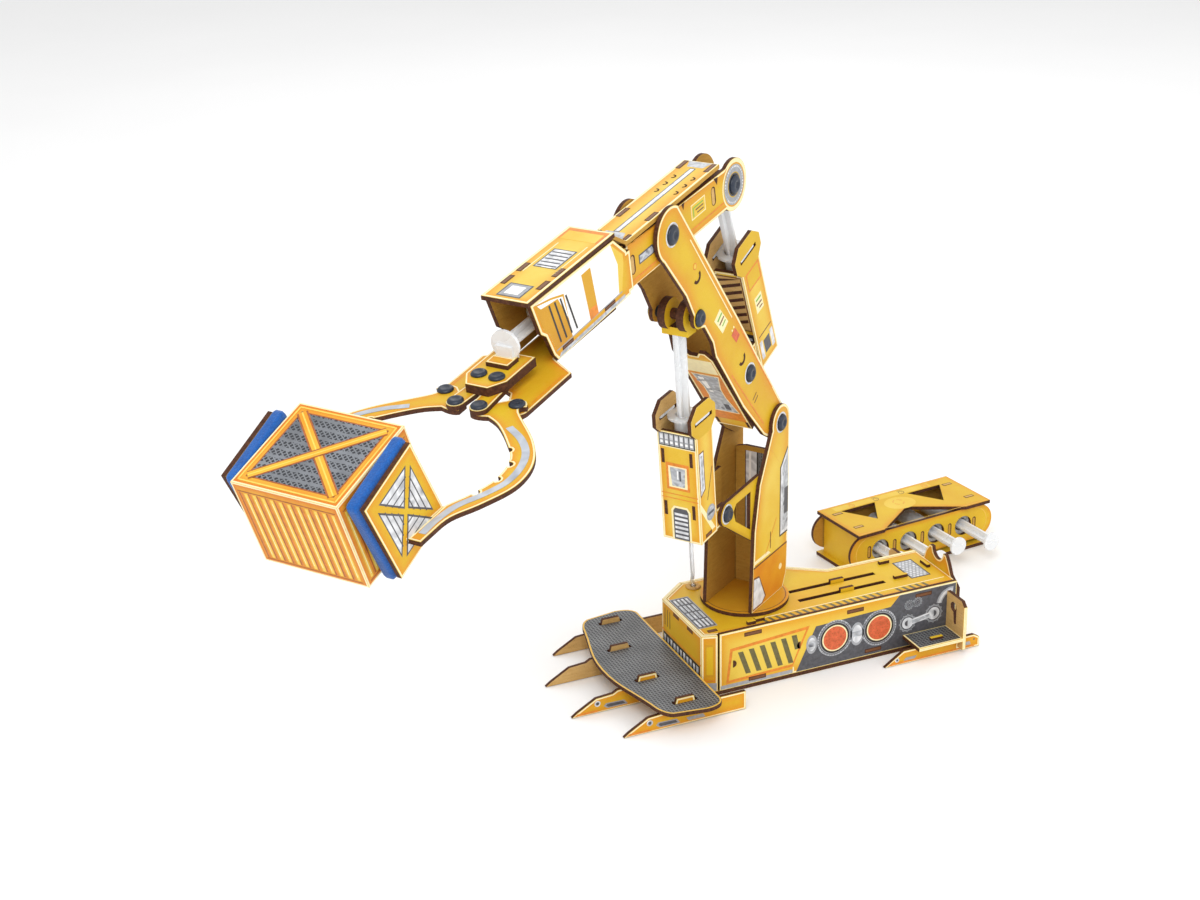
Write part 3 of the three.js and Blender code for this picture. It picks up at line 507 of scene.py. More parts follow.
def prism(bm, outline, frame_matrix, axis, level, depth):
    """Adds a thin plate over a flat outline and returns its faces, the far one second.

    axis is the local axis that the plate faces, and level is its foot along that axis.
    """
    def point(a, b, c):
        return {"X": (c, a, b), "Y": (a, c, b), "Z": (a, b, c)}[axis]
    low = [bm.verts.new(frame_matrix @ Vector(point(a, b, level))) for a, b in outline]
    high = [bm.verts.new(frame_matrix @ Vector(point(a, b, level + depth))) for a, b in outline]
    made = [bm.faces.new(low), bm.faces.new(high)]
    for i in range(len(outline)):
        j = (i + 1) % len(outline)
        made.append(bm.faces.new((low[i], low[j], high[j], high[i])))
    bmesh.ops.recalc_face_normals(bm, faces=made)
    return made


def decals(name, body, frame_matrix, axis, level, side, patches):
    """Printed shapes on one face. patches are (ink, outline, layer), higher layers over lower ones."""
    bm = bmesh.new()
    keys = []
    for key, outline, layer in patches:
        if key not in keys:
            keys.append(key)
        foot = level + side * (INK_LIFT + INK_STEP * layer)
        for face in prism(bm, outline, frame_matrix, axis, foot, side * INK_DEPTH):
            face.material_index = keys.index(key)
    return emit(name, bm, body, *keys)


def lathe(bm, profile, place, sides=32, material=0):
    """Turns a profile, pairs of radius and height, about the local Z of place."""
    rings = []
    for r, z in profile:
        points = circle(r, sides) if r > 1e-6 else [(0, 0)]
        rings.append([bm.verts.new(place @ Vector((x, y, z))) for x, y in points])
    made = []
    for a, b in zip(rings, rings[1:]):
        if len(a) == len(b) == 1:
            continue
        for k in range(sides):
            n = (k + 1) % sides
            corners = (a[k % len(a)], a[n % len(a)], b[n % len(b)], b[k % len(b)])
            made.append(bm.faces.new(list(dict.fromkeys(corners))))
    bmesh.ops.recalc_face_normals(bm, faces=made)
    for face in made:
        face.smooth = True
        face.material_index = material


# ---- hose ----------------------------------------------------------------------------------------
# From the front cylinder's nipple down to the deck, in the arm's frame.
HOSE_R = 1.6
HOSE_ROUTE = [(86.9, 0, 145.6), (86.2, 0, 138), (82, -2, 122), (66, -10, 98), (42, -24, 78), (20, -36, 64),
              (7, -42.5, 56.5), (4.4, -43.7, 52.6)]


def smooth_path(points, steps):
    """A Catmull-Rom curve through the points."""
    points = [Vector(p) for p in points]
    points = [2 * points[0] - points[1]] + points + [2 * points[-1] - points[-2]]
    path = []
    for a, b, c, d in zip(points, points[1:], points[2:], points[3:]):
        for k in range(steps):
            t = k / steps
            path.append(0.5 * (2 * b + (c - a) * t + (2 * a - 5 * b + 4 * c - d) * t * t
                               + (3 * b - a - 3 * c + d) * t ** 3))
    return path + [points[-2]]


def tube(bm, path, radius, sides=16):
    """A closed round tube along a path."""
    rings = []
    side = (path[1] - path[0]).orthogonal().normalized()
    for k, point in enumerate(path):
        along = (path[min(k + 1, len(path) - 1)] - path[max(k - 1, 0)]).normalized()
        side = (side - along * side.dot(along)).normalized()
        up = along.cross(side)
        rings.append([bm.verts.new(point + side * a + up * b) for a, b in circle(radius, sides)])
    made = [bm.faces.new(rings[0]), bm.faces.new(rings[-1])]
    for a, b in zip(rings, rings[1:]):
        for i in range(sides):
            made.append(bm.faces.new((a[i], a[(i + 1) % sides], b[(i + 1) % sides], b[i])))
    bmesh.ops.recalc_face_normals(bm, faces=made)
    for face in made:
        face.smooth = len(face.verts) == 4


def make_hose():
    path = [ARM @ p for p in smooth_path(HOSE_ROUTE, 5)]
    bm = bmesh.new()
    tube(bm, path, HOSE_R)
    hose = make_object("hose_line", bm, "clear")
    line = [p * MM for p in path]
    tuple(line[-1])
    tuple(line[0])
    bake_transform(hose)
    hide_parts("hose")
    length = sum((b - a).length for a, b in zip(line, line[1:]))
    tuple(line[0])
    [tuple(p) for p in line]


make_hose()


# ---- boards --------------------------------------------------------------------------------------
X, Y, Z = (Vector(axis) for axis in ((1, 0, 0), (0, 1, 0), (0, 0, 1)))
LATERAL = ARM.to_3x3() @ Y


def world(frame_matrix, axis):
    return (frame_matrix.to_3x3() @ axis).normalized()


def outward(centre):
    """Chooses facets that face away from a centre given in millimetres."""
    def test(normal, middle):
        return normal.dot(middle - centre) > 0.5
    return test


def facing(*directions):
    def test(normal, middle):
        return any(normal.dot(d) > 0.6 for d in directions)
    return test


def everything(normal, middle):
    return True


def board(node, chooser, face="yellow", back="inner", thick=BOARD, sheet=True, **look):
    """Dresses one board: dark cut edges, a plain back (by default the inner board, darkened with painted
    shade), and a printed sheet on each chosen side.
    """
    bm, number = welded(node)
    target = NODES[node].data
    target.materials.clear()
    for key in ("edge", face, back):
        target.materials.append(M[key])
    shown = []
    for group in facets(bm):
        area = sum(f.calc_area() for f in group)
        middle = sum((f.calc_center_median() * f.calc_area() for f in group), Vector()) / max(area, 1e-6)
        if narrow(group) <= thick + 0.5 or area < SMALL_FACET:
            index = 0
        elif chooser(group[0].normal, middle):
            index = 1
            if area > SHEET_FACET:
                shown.append([f[number] for f in group])
        else:
            index = 2
        for f in group:
            target.polygons[f[number]].material_index = index
    bm.free()
    if sheet:
        for k, facet in enumerate(shown):
            print_sheet(f"{node}_print_{k + 1}", node, facet, face, **look)


def outlines(group):
    """The facet's closed outlines, each with the board on its left."""
    inside = set(group)
    following = {}
    for face in group:
        for corner in face.loops:
            if sum(other in inside for other in corner.edge.link_faces) == 1:
                following.setdefault(corner.vert, []).append(corner.link_loop_next.vert)
    found = []
    while following:
        start = next(iter(following))
        loop, vert = [], start
        while vert in following:
            loop.append(vert.co.copy())
            onward = following[vert].pop()
            if not following[vert]:
                del following[vert]
            vert = onward
        found.append(straightened(loop))
    return [loop for loop in found if len(loop) > 2]


def straightened(loop):
    """An outline without the points that lie on a straight run."""
    kept = list(loop)
    k = 0
    while k < len(kept) and len(kept) > 3:
        before, here, after = kept[k - 1], kept[k], kept[(k + 1) % len(kept)]
        into, out = here - before, after - here
        if into.length < 0.05 or into.cross(out).length < 0.002 * into.length * out.length:
            kept.pop(k)
        else:
            k += 1
    return kept


def around(loop):
    """The length of a closed outline."""
    return sum((loop[k] - loop[k - 1]).length for k in range(len(loop)))


def inset(loop, normal, distance):
    """An outline moved into the board, with short mitres and no crossed edges."""
    moved = []
    for k, here in enumerate(loop):
        into = (here - loop[k - 1]).normalized()
        out = (loop[(k + 1) % len(loop)] - here).normalized()
        lean = normal.cross(into) + normal.cross(out)
        moved.append(here + lean * distance / max(lean.length_squared / 2, 0.45))
    for k in range(len(loop)):
        n = (k + 1) % len(loop)
        if (moved[n] - moved[k]).dot(loop[n] - loop[k]) < 0:
            moved[k] = moved[n] = (moved[k] + moved[n]) / 2
    return moved


def edge_distance(point, edges):
    """How far a point is from the nearest of the edges."""
    best = 1e9
    for a, b in edges:
        run = b - a
        t = max(0.0, min(1.0, (point - a).dot(run) / max(run.length_squared, 1e-9)))
        best = min(best, (point - a - run * t).length_squared)
    return math.sqrt(best)


def fill_sheet(bm, edges, normal, margin, border):
    """Fills a board's outline, leaving its holes out. A border gets material 1, the rest material 0."""
    wide = [bm.verts.new(p) for p in inset(edges[0], normal, margin)]
    inner = [wide] + [[bm.verts.new(p) for p in inset(hole, normal, margin)] for hole in edges[1:]]
    made = []
    if border:
        tight = inner[0] = [bm.verts.new(p) for p in inset(edges[0], normal, margin + border)]
        for k in range(len(wide)):
            n = (k + 1) % len(wide)
            made.append((bm.faces.new((wide[k], wide[n], tight[n], tight[k])), 1))
    flat = [v for loop in inner for v in loop]
    for corners in tessellate_polygon([[v.co for v in loop] for loop in inner]):
        a, b, c = trio = [flat[corner] for corner in corners]
        if (b.co - a.co).cross(c.co - a.co).length > 1e-4 and not bm.faces.get(trio):
            made.append((bm.faces.new(trio), 0))
    for f, index in made:
        f.material_index = index
    bmesh.ops.remove_doubles(bm, verts=bm.verts, dist=0.01)
    bmesh.ops.dissolve_degenerate(bm, dist=0.01, edges=bm.edges)
    bm.normal_update()
    for f in bm.faces:
        if f.normal.dot(normal) < 0:
            f.normal_flip()


def cut_grid(bm, normal):
    """Cuts the sheet inside its border into cells, so that its shading can fade smoothly."""
    side = normal.orthogonal().normalized()
    for axis in (side, normal.cross(side)):
        reach = [v.co.dot(axis) for v in bm.verts]
        for k in range(1, int((max(reach) - min(reach)) / SHEET_CELL) + 1):
            middle = [f for f in bm.faces if f.material_index == 0]
            cut = {v for f in middle for v in f.verts} | {e for f in middle for e in f.edges} | set(middle)
            bmesh.ops.bisect_plane(bm, geom=list(cut), dist=1e-4, plane_no=axis,
                                   plane_co=axis * (min(reach) + k * SHEET_CELL))


def print_sheet(name, node, facet, face="yellow", line="cream", border=1.1, margin=0.3, shade=9.0):
    """The printed layer on one side of a board: a light outline and ink that darkens near it.

    The outline is border wide and lies margin inside the board's edge. The ink fades over the width shade.
    """
    source, number = welded(node)
    chosen = set(facet)
    group = [f for f in source.faces if f[number] in chosen]
    normal = group[0].normal.copy()
    edges = sorted(outlines(group), key=around, reverse=True)
    source.free()
    bm = bmesh.new()
    fill_sheet(bm, edges, normal, margin, border)
    cut_grid(bm, normal)
    rims = [(edges[0][k - 1], edges[0][k]) for k in range(len(edges[0]))]
    rim = bm.verts.layers.float.new("rim")
    for v in bm.verts:
        v[rim] = max(0.0, 1 - max(0.0, edge_distance(v.co, rims) - margin - border) / shade) ** 1.5
    bmesh.ops.translate(bm, vec=normal * SHEET_LIFT, verts=bm.verts)
    top = bmesh.ops.extrude_face_region(bm, geom=list(bm.faces))["geom"]
    raised = [item for item in top if isinstance(item, bmesh.types.BMVert)]
    bmesh.ops.translate(bm, vec=normal * SHEET_DEPTH, verts=raised)
    bmesh.ops.recalc_face_normals(bm, faces=bm.faces)
    return emit(name, bm, BODY_OF[node], face, line)


FORK_SIDES = {"fork_outer_near": Y, "fork_inner_near": Y, "fork_inner_far": -Y, "fork_outer_far": -Y}
ARM_UP = world(FOREARM, Z)
ROOF_STEP = Vector((-0.59, 0, 0.81))    # the way the roof's slanted step faces, in the forearm's frame
FRONT_CENTRE = FRONT @ Vector((FRONT_AXIS, 0, 40))
REAR_CENTRE = REAR @ Vector((REAR_AXIS, 0, 30))


def board_pair(node, **look):
    """The near and the far board of a pair that stands along the arm, each printed on its outer side."""
    for side, sign in SIDES:
        board(f"{node}_{side}", facing(sign * LATERAL), **look)


def dress_boards():
    board("base_bottom", facing(-Z), sheet=False)
    board("base_deck", facing(Z), border=0.9, shade=3.5)
    board("side_panel_near", facing(Y), face="pale", border=1.3, shade=12)
    board("side_panel_far", outward(Vector((-60, 18, 25))), face="pale", border=1.3)
    board("front_panel", outward(Vector((20, 5, 25))), border=1.3)
    board("rear_cradle", facing(X, -X))
    for side, _ in SIDES:
        board(f"rear_foot_{side}", facing(Z, Y, -Y), back="bare")
    for node, direction in FORK_SIDES.items():
        board(node, facing(direction), back="bare")
    board("front_tread_plate", facing(Z), face="tread", line="line", border=1.3, margin=0.2)
    board("turntable_rack", everything, sheet=False)
    board("turntable_disc", facing(Z), border=0)
    board_pair("column_plate", face="pale", border=1.8, shade=14)
    board("column_rear_wall", facing(-world(ARM, X)))
    board_pair("column_bracket", face="mustard", border=0, shade=3)
    board("front_cylinder_housing", outward(FRONT_CENTRE), face="pale", back="bare", border=1.3)
    board("rear_cylinder_housing", outward(REAR_CENTRE), face="pale", back="bare", border=1.3)
    board_pair("boom_plate", border=1.5, shade=12)
    board("boom_cover", facing(world(BOOM, X)), face="pale")
    board_pair("forearm_side", border=1.5)
    board("forearm_roof", facing(ARM_UP, world(FOREARM, ROOF_STEP)), face="pale", border=1.6)
    board("gripper_base_plate", facing(ARM_UP), border=0.9)
    for side, sign in SIDES:
        board(f"claw_{side}", facing(ARM_UP, sign * LATERAL), border=1.0, shade=5)
        board(f"link_{side}", facing(ARM_UP), border=0.8, shade=4)
    board("gripper_slider", facing(ARM_UP), border=0.9, shade=5, thick=2 * BOARD)
    board("crate", outward(CRATE_FRAME.translation), face="crate", back="bare", thick=1.6, border=1.0,
          margin=0.12, shade=6)
    board("console_lid", facing(Z), border=0, shade=4)
    board("console_tray", everything, sheet=False)
    across = world(CONSOLE_FRAME, Y)
    board("console_front_panel", facing(across), border=0, shade=4)
    board("console_rear_panel", facing(-across), border=0, shade=4)


dress_boards()


def plain(key, *nodes):
    """Gives whole nodes one material."""
    for node in nodes:
        NODES[node].data.materials.clear()
        NODES[node].data.materials.append(M[key])


def paint_part(node, frame_matrix, rule):
    """Repaints a CAD node where rule, given a face's middle and normal in a local frame, names a material."""
    mesh = NODES[node].data
    keys = [m.name for m in mesh.materials]
    back = frame_matrix.inverted()
    turnback = back.to_3x3()
    for polygon in mesh.polygons:
        key = rule(back @ (polygon.center / MM), turnback @ polygon.normal)
        if key:
            if M[key].name not in keys:
                keys.append(M[key].name)
                mesh.materials.append(M[key])
            polygon.material_index = keys.index(M[key].name)


SYRINGES = ["turntable_cylinder", "front_cylinder_barrel", "rear_cylinder_barrel", "gripper_cylinder"]
PLUNGERS = ["front_cylinder_plunger", "rear_cylinder_plunger"]
PINS = ["shoulder_pin", "front_cylinder_pin", "elbow_pin", "rear_cylinder_pin"]


def clevis_rule(foot):
    """Makes the end of a plunger, above its foot, a board fitting: printed cheeks and block, cut edges."""
    def rule(point, normal):
        if point.z <= foot:
            return None
        block = point.z < foot + 6.5 and abs(normal.x) > 0.8
        return "yellow" if block or abs(normal.y) > 0.8 else "edge"
    return rule


def slider_rule(point, normal):
    """Makes the plunger on the gripper's slider white, but not the slider's own board tab."""
    tab = 175.9 < point.x < 188.1 and point.z < SLIDER_TOP + 3.4
    return "milk" if point.z > SLIDER_TOP + 1.5 and not tab else None


def dress_plastics():
    plain("clear", *SYRINGES, *[f"master_barrel_{k}" for k in (1, 2, 3, 4)])
    plain("milk", *PLUNGERS, *[f"master_plunger_{k}" for k in (1, 2, 3, 4)])
    plain("navy", *PINS)
    paint_part("front_cylinder_plunger", FRONT, clevis_rule(FRONT_REACH - 14))
    paint_part("rear_cylinder_plunger", REAR, clevis_rule(REAR_REACH - 8))
    paint_part("gripper_slider", FOREARM, slider_rule)


dress_plastics()


# ---- pins and rivets -----------------------------------------------------------------------------
def across_pin(name, frame_matrix, x, z, face, sign, body, rod_from=None, radius=6.6, ring="silver"):
    """A round socket cap over a pin's end, with a light ring printed round it.

    Where rod_from is given, a rod reaches from that distance off the middle out to the cap.
    """
    place = frame_matrix @ shift(x, sign * face, z) @ turn(-sign * math.pi / 2, "X")
    foot = 0.15
    profile = [(0, 2.15), (2.1, 2.15), (2.5, 2.8), (4.6, 2.8), (radius - 0.6, 2.0), (radius, 1.1),
               (radius, foot)]
    if rod_from is None:
        profile += [(4.15, foot), (4.15, 2.02), (0, 2.02)]
    else:
        profile += [(4.0, foot), (4.0, rod_from - face), (0, rod_from - face)]
    bm = bmesh.new()
    lathe(bm, profile, place, 32)
    inner, outer, top = radius + 0.1, radius + 1.7, foot + 0.12
    lathe(bm, [(inner, foot), (outer, foot), (outer, top), (inner, top), (inner, foot)], place, 40, 1)
    return emit(name, bm, body, "navy", ring)


def rivet(name, x, y, z, body, sign=1):
    """A press rivet's domed head on the gripper, with a shallow dish and a collar."""
    place = FOREARM @ shift(x, y, z)
    if sign < 0:
        place = place @ turn(math.pi, "X")
    r, top, foot = 5.2, 2.3, 0.12
    bm = bmesh.new()
    lathe(bm, [(0, top - 0.35), (r * 0.45, top - 0.3), (r * 0.6, top), (r * 0.86, top * 0.8), (r, top * 0.45),
               (r, 0.3), (r * 0.9, foot), (0, foot)], place, 30)
    return emit(name, bm, body, "navy")


def make_fixings():
    for side, sign in SIDES:
        across_pin(f"shoulder_cap_{side}", ARM, SHOULDER[0], SHOULDER[2], COLUMN_W, sign, "turntable")
        across_pin(f"bracket_cap_{side}", ARM, FRONT_PIN[0], FRONT_PIN[2], BRACKET_W, sign, "turntable",
                   radius=6.2)
        across_pin(f"elbow_cap_{side}", BOOM, 0, BOOM_LENGTH, BOOM_W, sign, "boom", radius=7.0)
        across_pin(f"rear_pin_cap_{side}", BOOM, 0, REAR_PIN_ALONG, BOOM_W, sign, "boom")
        across_pin(f"clevis_cap_{side}", BOOM, MID_PIVOT[0], MID_PIVOT[1], BOOM_W, sign, "boom",
                   rod_from=CLEVIS_W, radius=6.2, ring="yellow")
        across_pin(f"tail_cap_{side}", FOREARM, TAIL[0], TAIL[1], TAIL_W, sign, "forearm",
                   rod_from=EYE_W, radius=6.8, ring="dark")
        x, y = CLAW_PIVOT[0], sign * CLAW_PIVOT[1]
        rivet(f"claw_rivet_{side}", x, y, CLAW_TOP, f"claw_{side}")
        rivet(f"claw_rivet_under_{side}", x, y, GRIP_FLOOR, "forearm", -1)
        rivet(f"link_rivet_{side}", LINK_END[0], sign * LINK_END[1], LINK_TOP, f"claw_{side}")
        rivet(f"slider_rivet_{side}", SLIDER_RIVET[0], sign * SLIDER_RIVET[1], SLIDER_TOP, "gripper_piston")


make_fixings()


def flange_ends(name, frame_matrix, axis, housing):
    """The ends of a syringe's finger flange, seen in the slots of its housing's ears."""
    for side, sign in SIDES:
        bm = bmesh.new()
        prism(bm, capsule(axis, housing["top"] + 9, 10.5, 1.05), frame_matrix, "Y",
              sign * (housing["half"] - 2.6), sign * 1.9)
        emit(f"{name}_flange_end_{side}", bm, f"{name}_cylinder", "milk")


flange_ends("front", FRONT, FRONT_AXIS, FRONT_HOUSING)
flange_ends("rear", REAR, REAR_AXIS, REAR_HOUSING)


# ---- printed details -----------------------------------------------------------------------------
def both_sides(name, body, frame_matrix, half, patches):
    """The same print on the near and on the far side."""
    for side, sign in SIDES:
        decals(f"{name}_{side}", body, frame_matrix, "Y", sign * half, sign, patches)


def bars(ink, layer, *places):
    """Rectangles in one ink. Each place is x0, x1, y0, y1."""
    return [(ink, rect(*place), layer) for place in places]


def dots(ink, layer, x, y, ring, count, r, sides, spin=0.0):
    """Small discs in a ring round x, y."""
    return [(ink, disc_outline(x + a, y + b, r, sides), layer) for a, b in circle(ring, count, spin)]


def tabs(name, level, height, *places):
    """Board tabs that stand out of a surface of the base. Each place is x, y, length, width."""
    bm = bmesh.new()
    for x, y, length, width in places:
        outline = rect(x - length / 2, x + length / 2, y - width / 2, y + width / 2)
        top = prism(bm, outline, ROOT, "Z", level, height)[1]
        top.material_index = 1
    emit(name, bm, "base", "edge", "yellow")


def slots(places, width, height):
    """Board tabs and slots: a charred outline with the tab's lighter end in it."""
    out = []
    for x, y in places:
        out += bars("edge", 2, (x - width / 2, x + width / 2, y - height / 2, y + height / 2))
        inner_w, inner_h = width / 2 - 0.7, height / 2 - 0.7
        if inner_w > 0.8 and inner_h > 0.4:
            out += bars("brown", 3, (x - inner_w, x + inner_w, y - inner_h, y + inner_h))
    return out


def wheel(x, y, spin=0.0):
    """A printed road wheel: dark tyre with fine lugs, a pale ring and a red mesh centre."""
    tyre, hub = 15.6, 10.2
    discs = (("metal", tyre, 48), ("dark", tyre - 1.3, 48), ("grey", tyre - 2.0, 48),
             ("black", tyre - 2.6, 48), ("cream", hub + 1.1, 40), ("red", hub, 40))
    out = [(ink, disc_outline(x, y, r, sides), 2 + k) for k, (ink, r, sides) in enumerate(discs)]
    out += dots("dark", 3, x, y, tyre - 0.75, 40, 0.5, 4, spin)
    for ring, count in ((2.6, 6), (5.2, 12), (7.8, 18)):
        out += dots("rust", 8, x, y, ring, count, 0.42, 6, spin)
    return out


def gear(x, y, r):
    """A printed gear with a light rim and small round teeth."""
    discs = (("grey", r), ("dark", r - 1.2), ("silver", r - 2.2), ("dark", r * 0.35))
    out = [(ink, disc_outline(x, y, radius), 3 + k) for k, (ink, radius) in enumerate(discs)]
    return out + dots("grey", 3, x, y, r, 12, 0.9, 6)


def base_side_prints():
    foot, top = BASE_FOOT, DECK_TOP - 0.6
    patches = [("dark", [(-20, foot), (-37, 40), (-104, 42), (-112, top), (-164, top), (-164, foot)], 1),
               ("grey", [(45.6, foot), (45.6, 7), (-18.4, 7), (-17, foot)], 1),
               ("orange", [(41, 8), (37.5, 37.5), (-31.5, 42), (-17, 9.5)], 1),
               ("pale", [(38.6, 10.4), (35.4, 35), (-28.2, 39.2), (-16.6, 11.8)], 2)]
    # the hazard bars, the last one cut short by the window's slanted end
    bar, lean = 4.4, 7
    for k in range(6):
        head = 31 - 9.3 * k
        low = 13 if k < 5 else 24
        high = 33 + 0.08 * (31 - head)
        tail = head - lean * (33 - low) / 20
        patches.append(("olive", [(tail, low), (tail - bar, low), (head - bar, high), (head, high)], 3))
    patches += [("edge", ring_outline(35.2, 24, 0.01, 3.2, 12, math.pi / 2, math.pi), 3),
                ("edge", ring_outline(-23.5, 27, 0.01, 3.2, 12, -math.pi / 2, math.pi), 3)]
    patches += wheel(-54, 26) + wheel(-94, 26, 0.1)
    for x, half in ((-33.5, 3.4), (-74, 4.6)):
        patches += [("grey", disc_outline(x, 25, half + 1.4, squash=1.7), 2),
                    ("silver", disc_outline(x, 25, half, squash=1.7), 3)]
        patches += bars("metal", 4, (x - half, x + half, 22.8, 27.4))
    patches += gear(-120, 24, 7.2) + gear(-144, 27.5, 7.6)
    patches += [("silver", [(-120, 21.6), (-120, 26.4), (-144, 30), (-144, 25)], 7),
                ("metal", [(-124, 23), (-124, 25.6), (-140, 28.2), (-140, 25.6)], 8)]
    patches += gear(-121, 40, 3.6) + gear(-128.5, 41, 3.6)
    patches += [("grey", ring_outline(-160, 34.4, 8.6, 13.6, 18, 0.1, 1.6), 3),
                ("silver", ring_outline(-160, 34.4, 9.8, 12.2, 18, 0.1, 1.6), 4)]
    patches += slots([(18, 47), (-72, 46), (14, 7.5), (-89, 7.5), (-134, 46.5)], 15, 3.4)
    patches += bars("cream", 4, (-18, -16.8, 4, 9))
    patches += bars("grey", 2, *[(-163, -150 - 3 * k, 6 + 3.2 * k, 7 + 3.2 * k) for k in range(3)])
    decals("side_print_near", "base", ROOT, "Y", NEAR_Y, 1, patches)
    far = bars("orange", 1, (-150, -90, 12, 42)) + bars("yellow", 2, (-147.6, -92.4, 14.4, 39.6))
    far += [("olive", slanted(x, x + 4.2, 16.5, 37.5, 6), 3) for x in range(-144, -90, 9)]
    decals("side_print_far", "base", ROOT, "Y", NARROW_Y, -1, far)


def front_prints():
    patches = (bars("grey", 1, (-24.4, 45.4, BASE_FOOT, 10.4)) + bars("black", 1, (-23, 43.6, 11.6, 24.4))
               + bars("orange", 1, (-24.4, 45.4, 25.2, 26.6)) + bars("cream", 1, (-24.4, 45.4, 10.4, 11.4)))
    for k in range(11):
        y = -21.6 + 5.9 * k
        patches += bars("silver", 2, (y, y + 3.4, 13.4 + 0.3 * (k % 3), 22.6 - 0.5 * (k % 2)))
        patches += bars("metal", 3, (y + 0.6, y + 2.6, 15, 19.5))
    patches += bars("brown", 2, *[(y, y + 1.1, 31, 46) for y in (-20, -15.5, -11)])
    patches += slots([(1, 47.5), (26, 47.5)], 10, 3)
    decals("front_print", "base", ROOT, "X", FRONT_X, 1, patches)
    corner = (bars("orange", 1, (-4.6, 4.6, 12, 13.2)) + bars("grey", 1, (-5.4, 5.4, BASE_FOOT, 10.6))
              + bars("amber", 1, (-3.6, 3.6, 16, 44)) + bars("yellow", 2, (-2.4, 2.4, 18, 42)))
    decals("corner_print", "base", shift(54, 48, 0) @ turn(math.atan2(12, 4), "Z"), "X", 0, 1, corner)


def deck_prints():
    patches = bars("grey", 1, (40.2, 56.6, -20, 34)) + bars("dark", 2, (41.2, 55.6, -19, 33))
    for k in range(4):
        x = 42.2 + 3.4 * k
        step = 8 * (k % 2)
        patches += bars("silver", 3, (x, x + 1.9, -17.6, 31.6))
        patches += bars("metal", 4, (x + 0.3, x + 1.4, -10 + step, 12 + step))
    patches += bars("dark", 5, *[(41.6, 55.2, y, y + 1.6) for y in (-8, 5, 18)])
    # hazard bars along the near edge, with one gap
    patches += [("olive", slanted(x, x + 2.6, 39.6, 47, -2.4), 2)
                for x in range(4, -141, -6) if not -116 < x < -100]
    patches += bars("cream", 2, (-160, 8, 38, 38.9)) + bars("black", 1, (-153, -135, -1, 30))
    patches += bars("grey", 2, (-152, -136, 0, 29))
    for row in range(10):
        for column in range(5):
            x = -150.4 + 3.2 * column + 1.6 * (row % 2)
            if x < -137:
                patches.append(("silver", disc_outline(x, 1.8 + 2.85 * row, 1.3, 4), 3))
    patches += slots([(48, 40.5)], 8, 4)
    decals("deck_print", "base", ROOT, "Z", DECK_TOP, 1, patches)
    tabs("deck_tabs", DECK_TOP + 0.1, 2.6, (-129, -4, 9, BOARD), (-128, 24, 12, BOARD), (-158, 13, BOARD, 11),
         (8, 41, 8, BOARD), (16, 43, 7, BOARD), (-29, -28, 7, BOARD))
    # the eyelet that the hose goes into
    bm = bmesh.new()
    lathe(bm, [(2.4, 0), (5.6, 0), (6.2, 0.6), (5.4, 1.6), (3.4, 1.9), (2.4, 1.2), (2.4, 0)],
          shift(29, -33, DECK_TOP + 0.1), 32)
    emit("hose_eyelet", bm, "base", "bare")


def turntable_prints():
    patches = [("amber", disc_outline(0, 0, 33.6, 48), 1), ("brown", ring_outline(0, 0, 32.2, 32.8, 48), 2)]
    decals("disc_print", "turntable", ARM, "Z", DECK_TOP + GAP + BOARD, 1, patches)


def column_prints():
    side = [("deep_orange", [(28.2, 55.4), (26.4, 91), (-30, 91), (-28.6, 66), (-22.6, 55.4)], 1),
            ("brown", [(26.4, 91), (26.3, 92.4), (-30.2, 92.4), (-30.2, 91)], 2),
            ("brown", [(28, 56), (26.6, 83.5), (17, 82), (5.5, 60.4), (11.5, 56)], 2),
            ("silver", [(27, 57), (25.8, 82), (17.4, 80.6), (7.4, 60.8), (12, 57)], 3),
            ("cream", [(26, 94), (25.9, 97), (2, 97), (-2, 94)], 2),
            ("black", [(-17, 101), (-30.8, 101), (-31, 120), (-30, 174), (-17, 160)], 2),
            ("silver", [(-18.4, 102.4), (-30.8, 102.4), (-31, 120), (-30, 172), (-18.4, 159.4)], 3),
            ("metal", [(-22, 105), (-30.8, 105), (-31, 120), (-30.2, 168), (-22, 160)], 4),
            ("dark", [(-24.4, 118), (-30.9, 118), (-30.8, 140), (-24.4, 140)], 5),
            ("cream", disc_outline(-19, 75, 2.6, 10), 3),
            ("orange", [(6, 96), (7, 96), (-11, 120), (-12, 120)], 2),
            ("orange", [(22.6, 122), (16.4, 150), (15.4, 150), (21.4, 122)], 2),
            ("brown", [(-2, 98), (-1, 98), (-1, 112), (-2, 112)], 3),
            ("orange", [(-2, 180), (-1, 181), (-15, 166), (-16, 165)], 2)]
    both_sides("column_print", "turntable", ARM, COLUMN_W, side)
    wall = (bars("silver", 1, (-9, 0.4, 98, 168)) + bars("white", 2, (-6.4, -4.4, 98.6, 167.4))
            + bars("tread", 1, (1.6, 17, 98, 168))
            + bars("black", 2, (-9.6, -9, 98, 168), (0.4, 1.6, 98, 168)))
    decals("wall_print", "turntable", ARM, "X", WALL_X, 1, wall)


def ear_print(axis, housing):
    """The deep yellow of a housing's ear, left open over its slot."""
    depth, top = housing["depth"], housing["top"]
    low, high, slot, wide, tip = top + 7.3, top + 10.7, 12.8, depth + 5.7, depth - 3.2
    parts = [[(2.2 - depth, top - 3.7), (depth - 2.2, top - 3.7), (wide, top + 4.1), (wide, low),
              (-wide, low), (-wide, top + 4.1)],
             [(-wide, high), (wide, high), (wide, top + 13.9), (tip, top + 21.7), (-tip, top + 21.7),
              (-wide, top + 13.9)],
             rect(-wide, -slot, low, high), rect(slot, wide, low, high)]
    return [("mustard", [(axis + x, z) for x, z in part], 1) for part in parts]


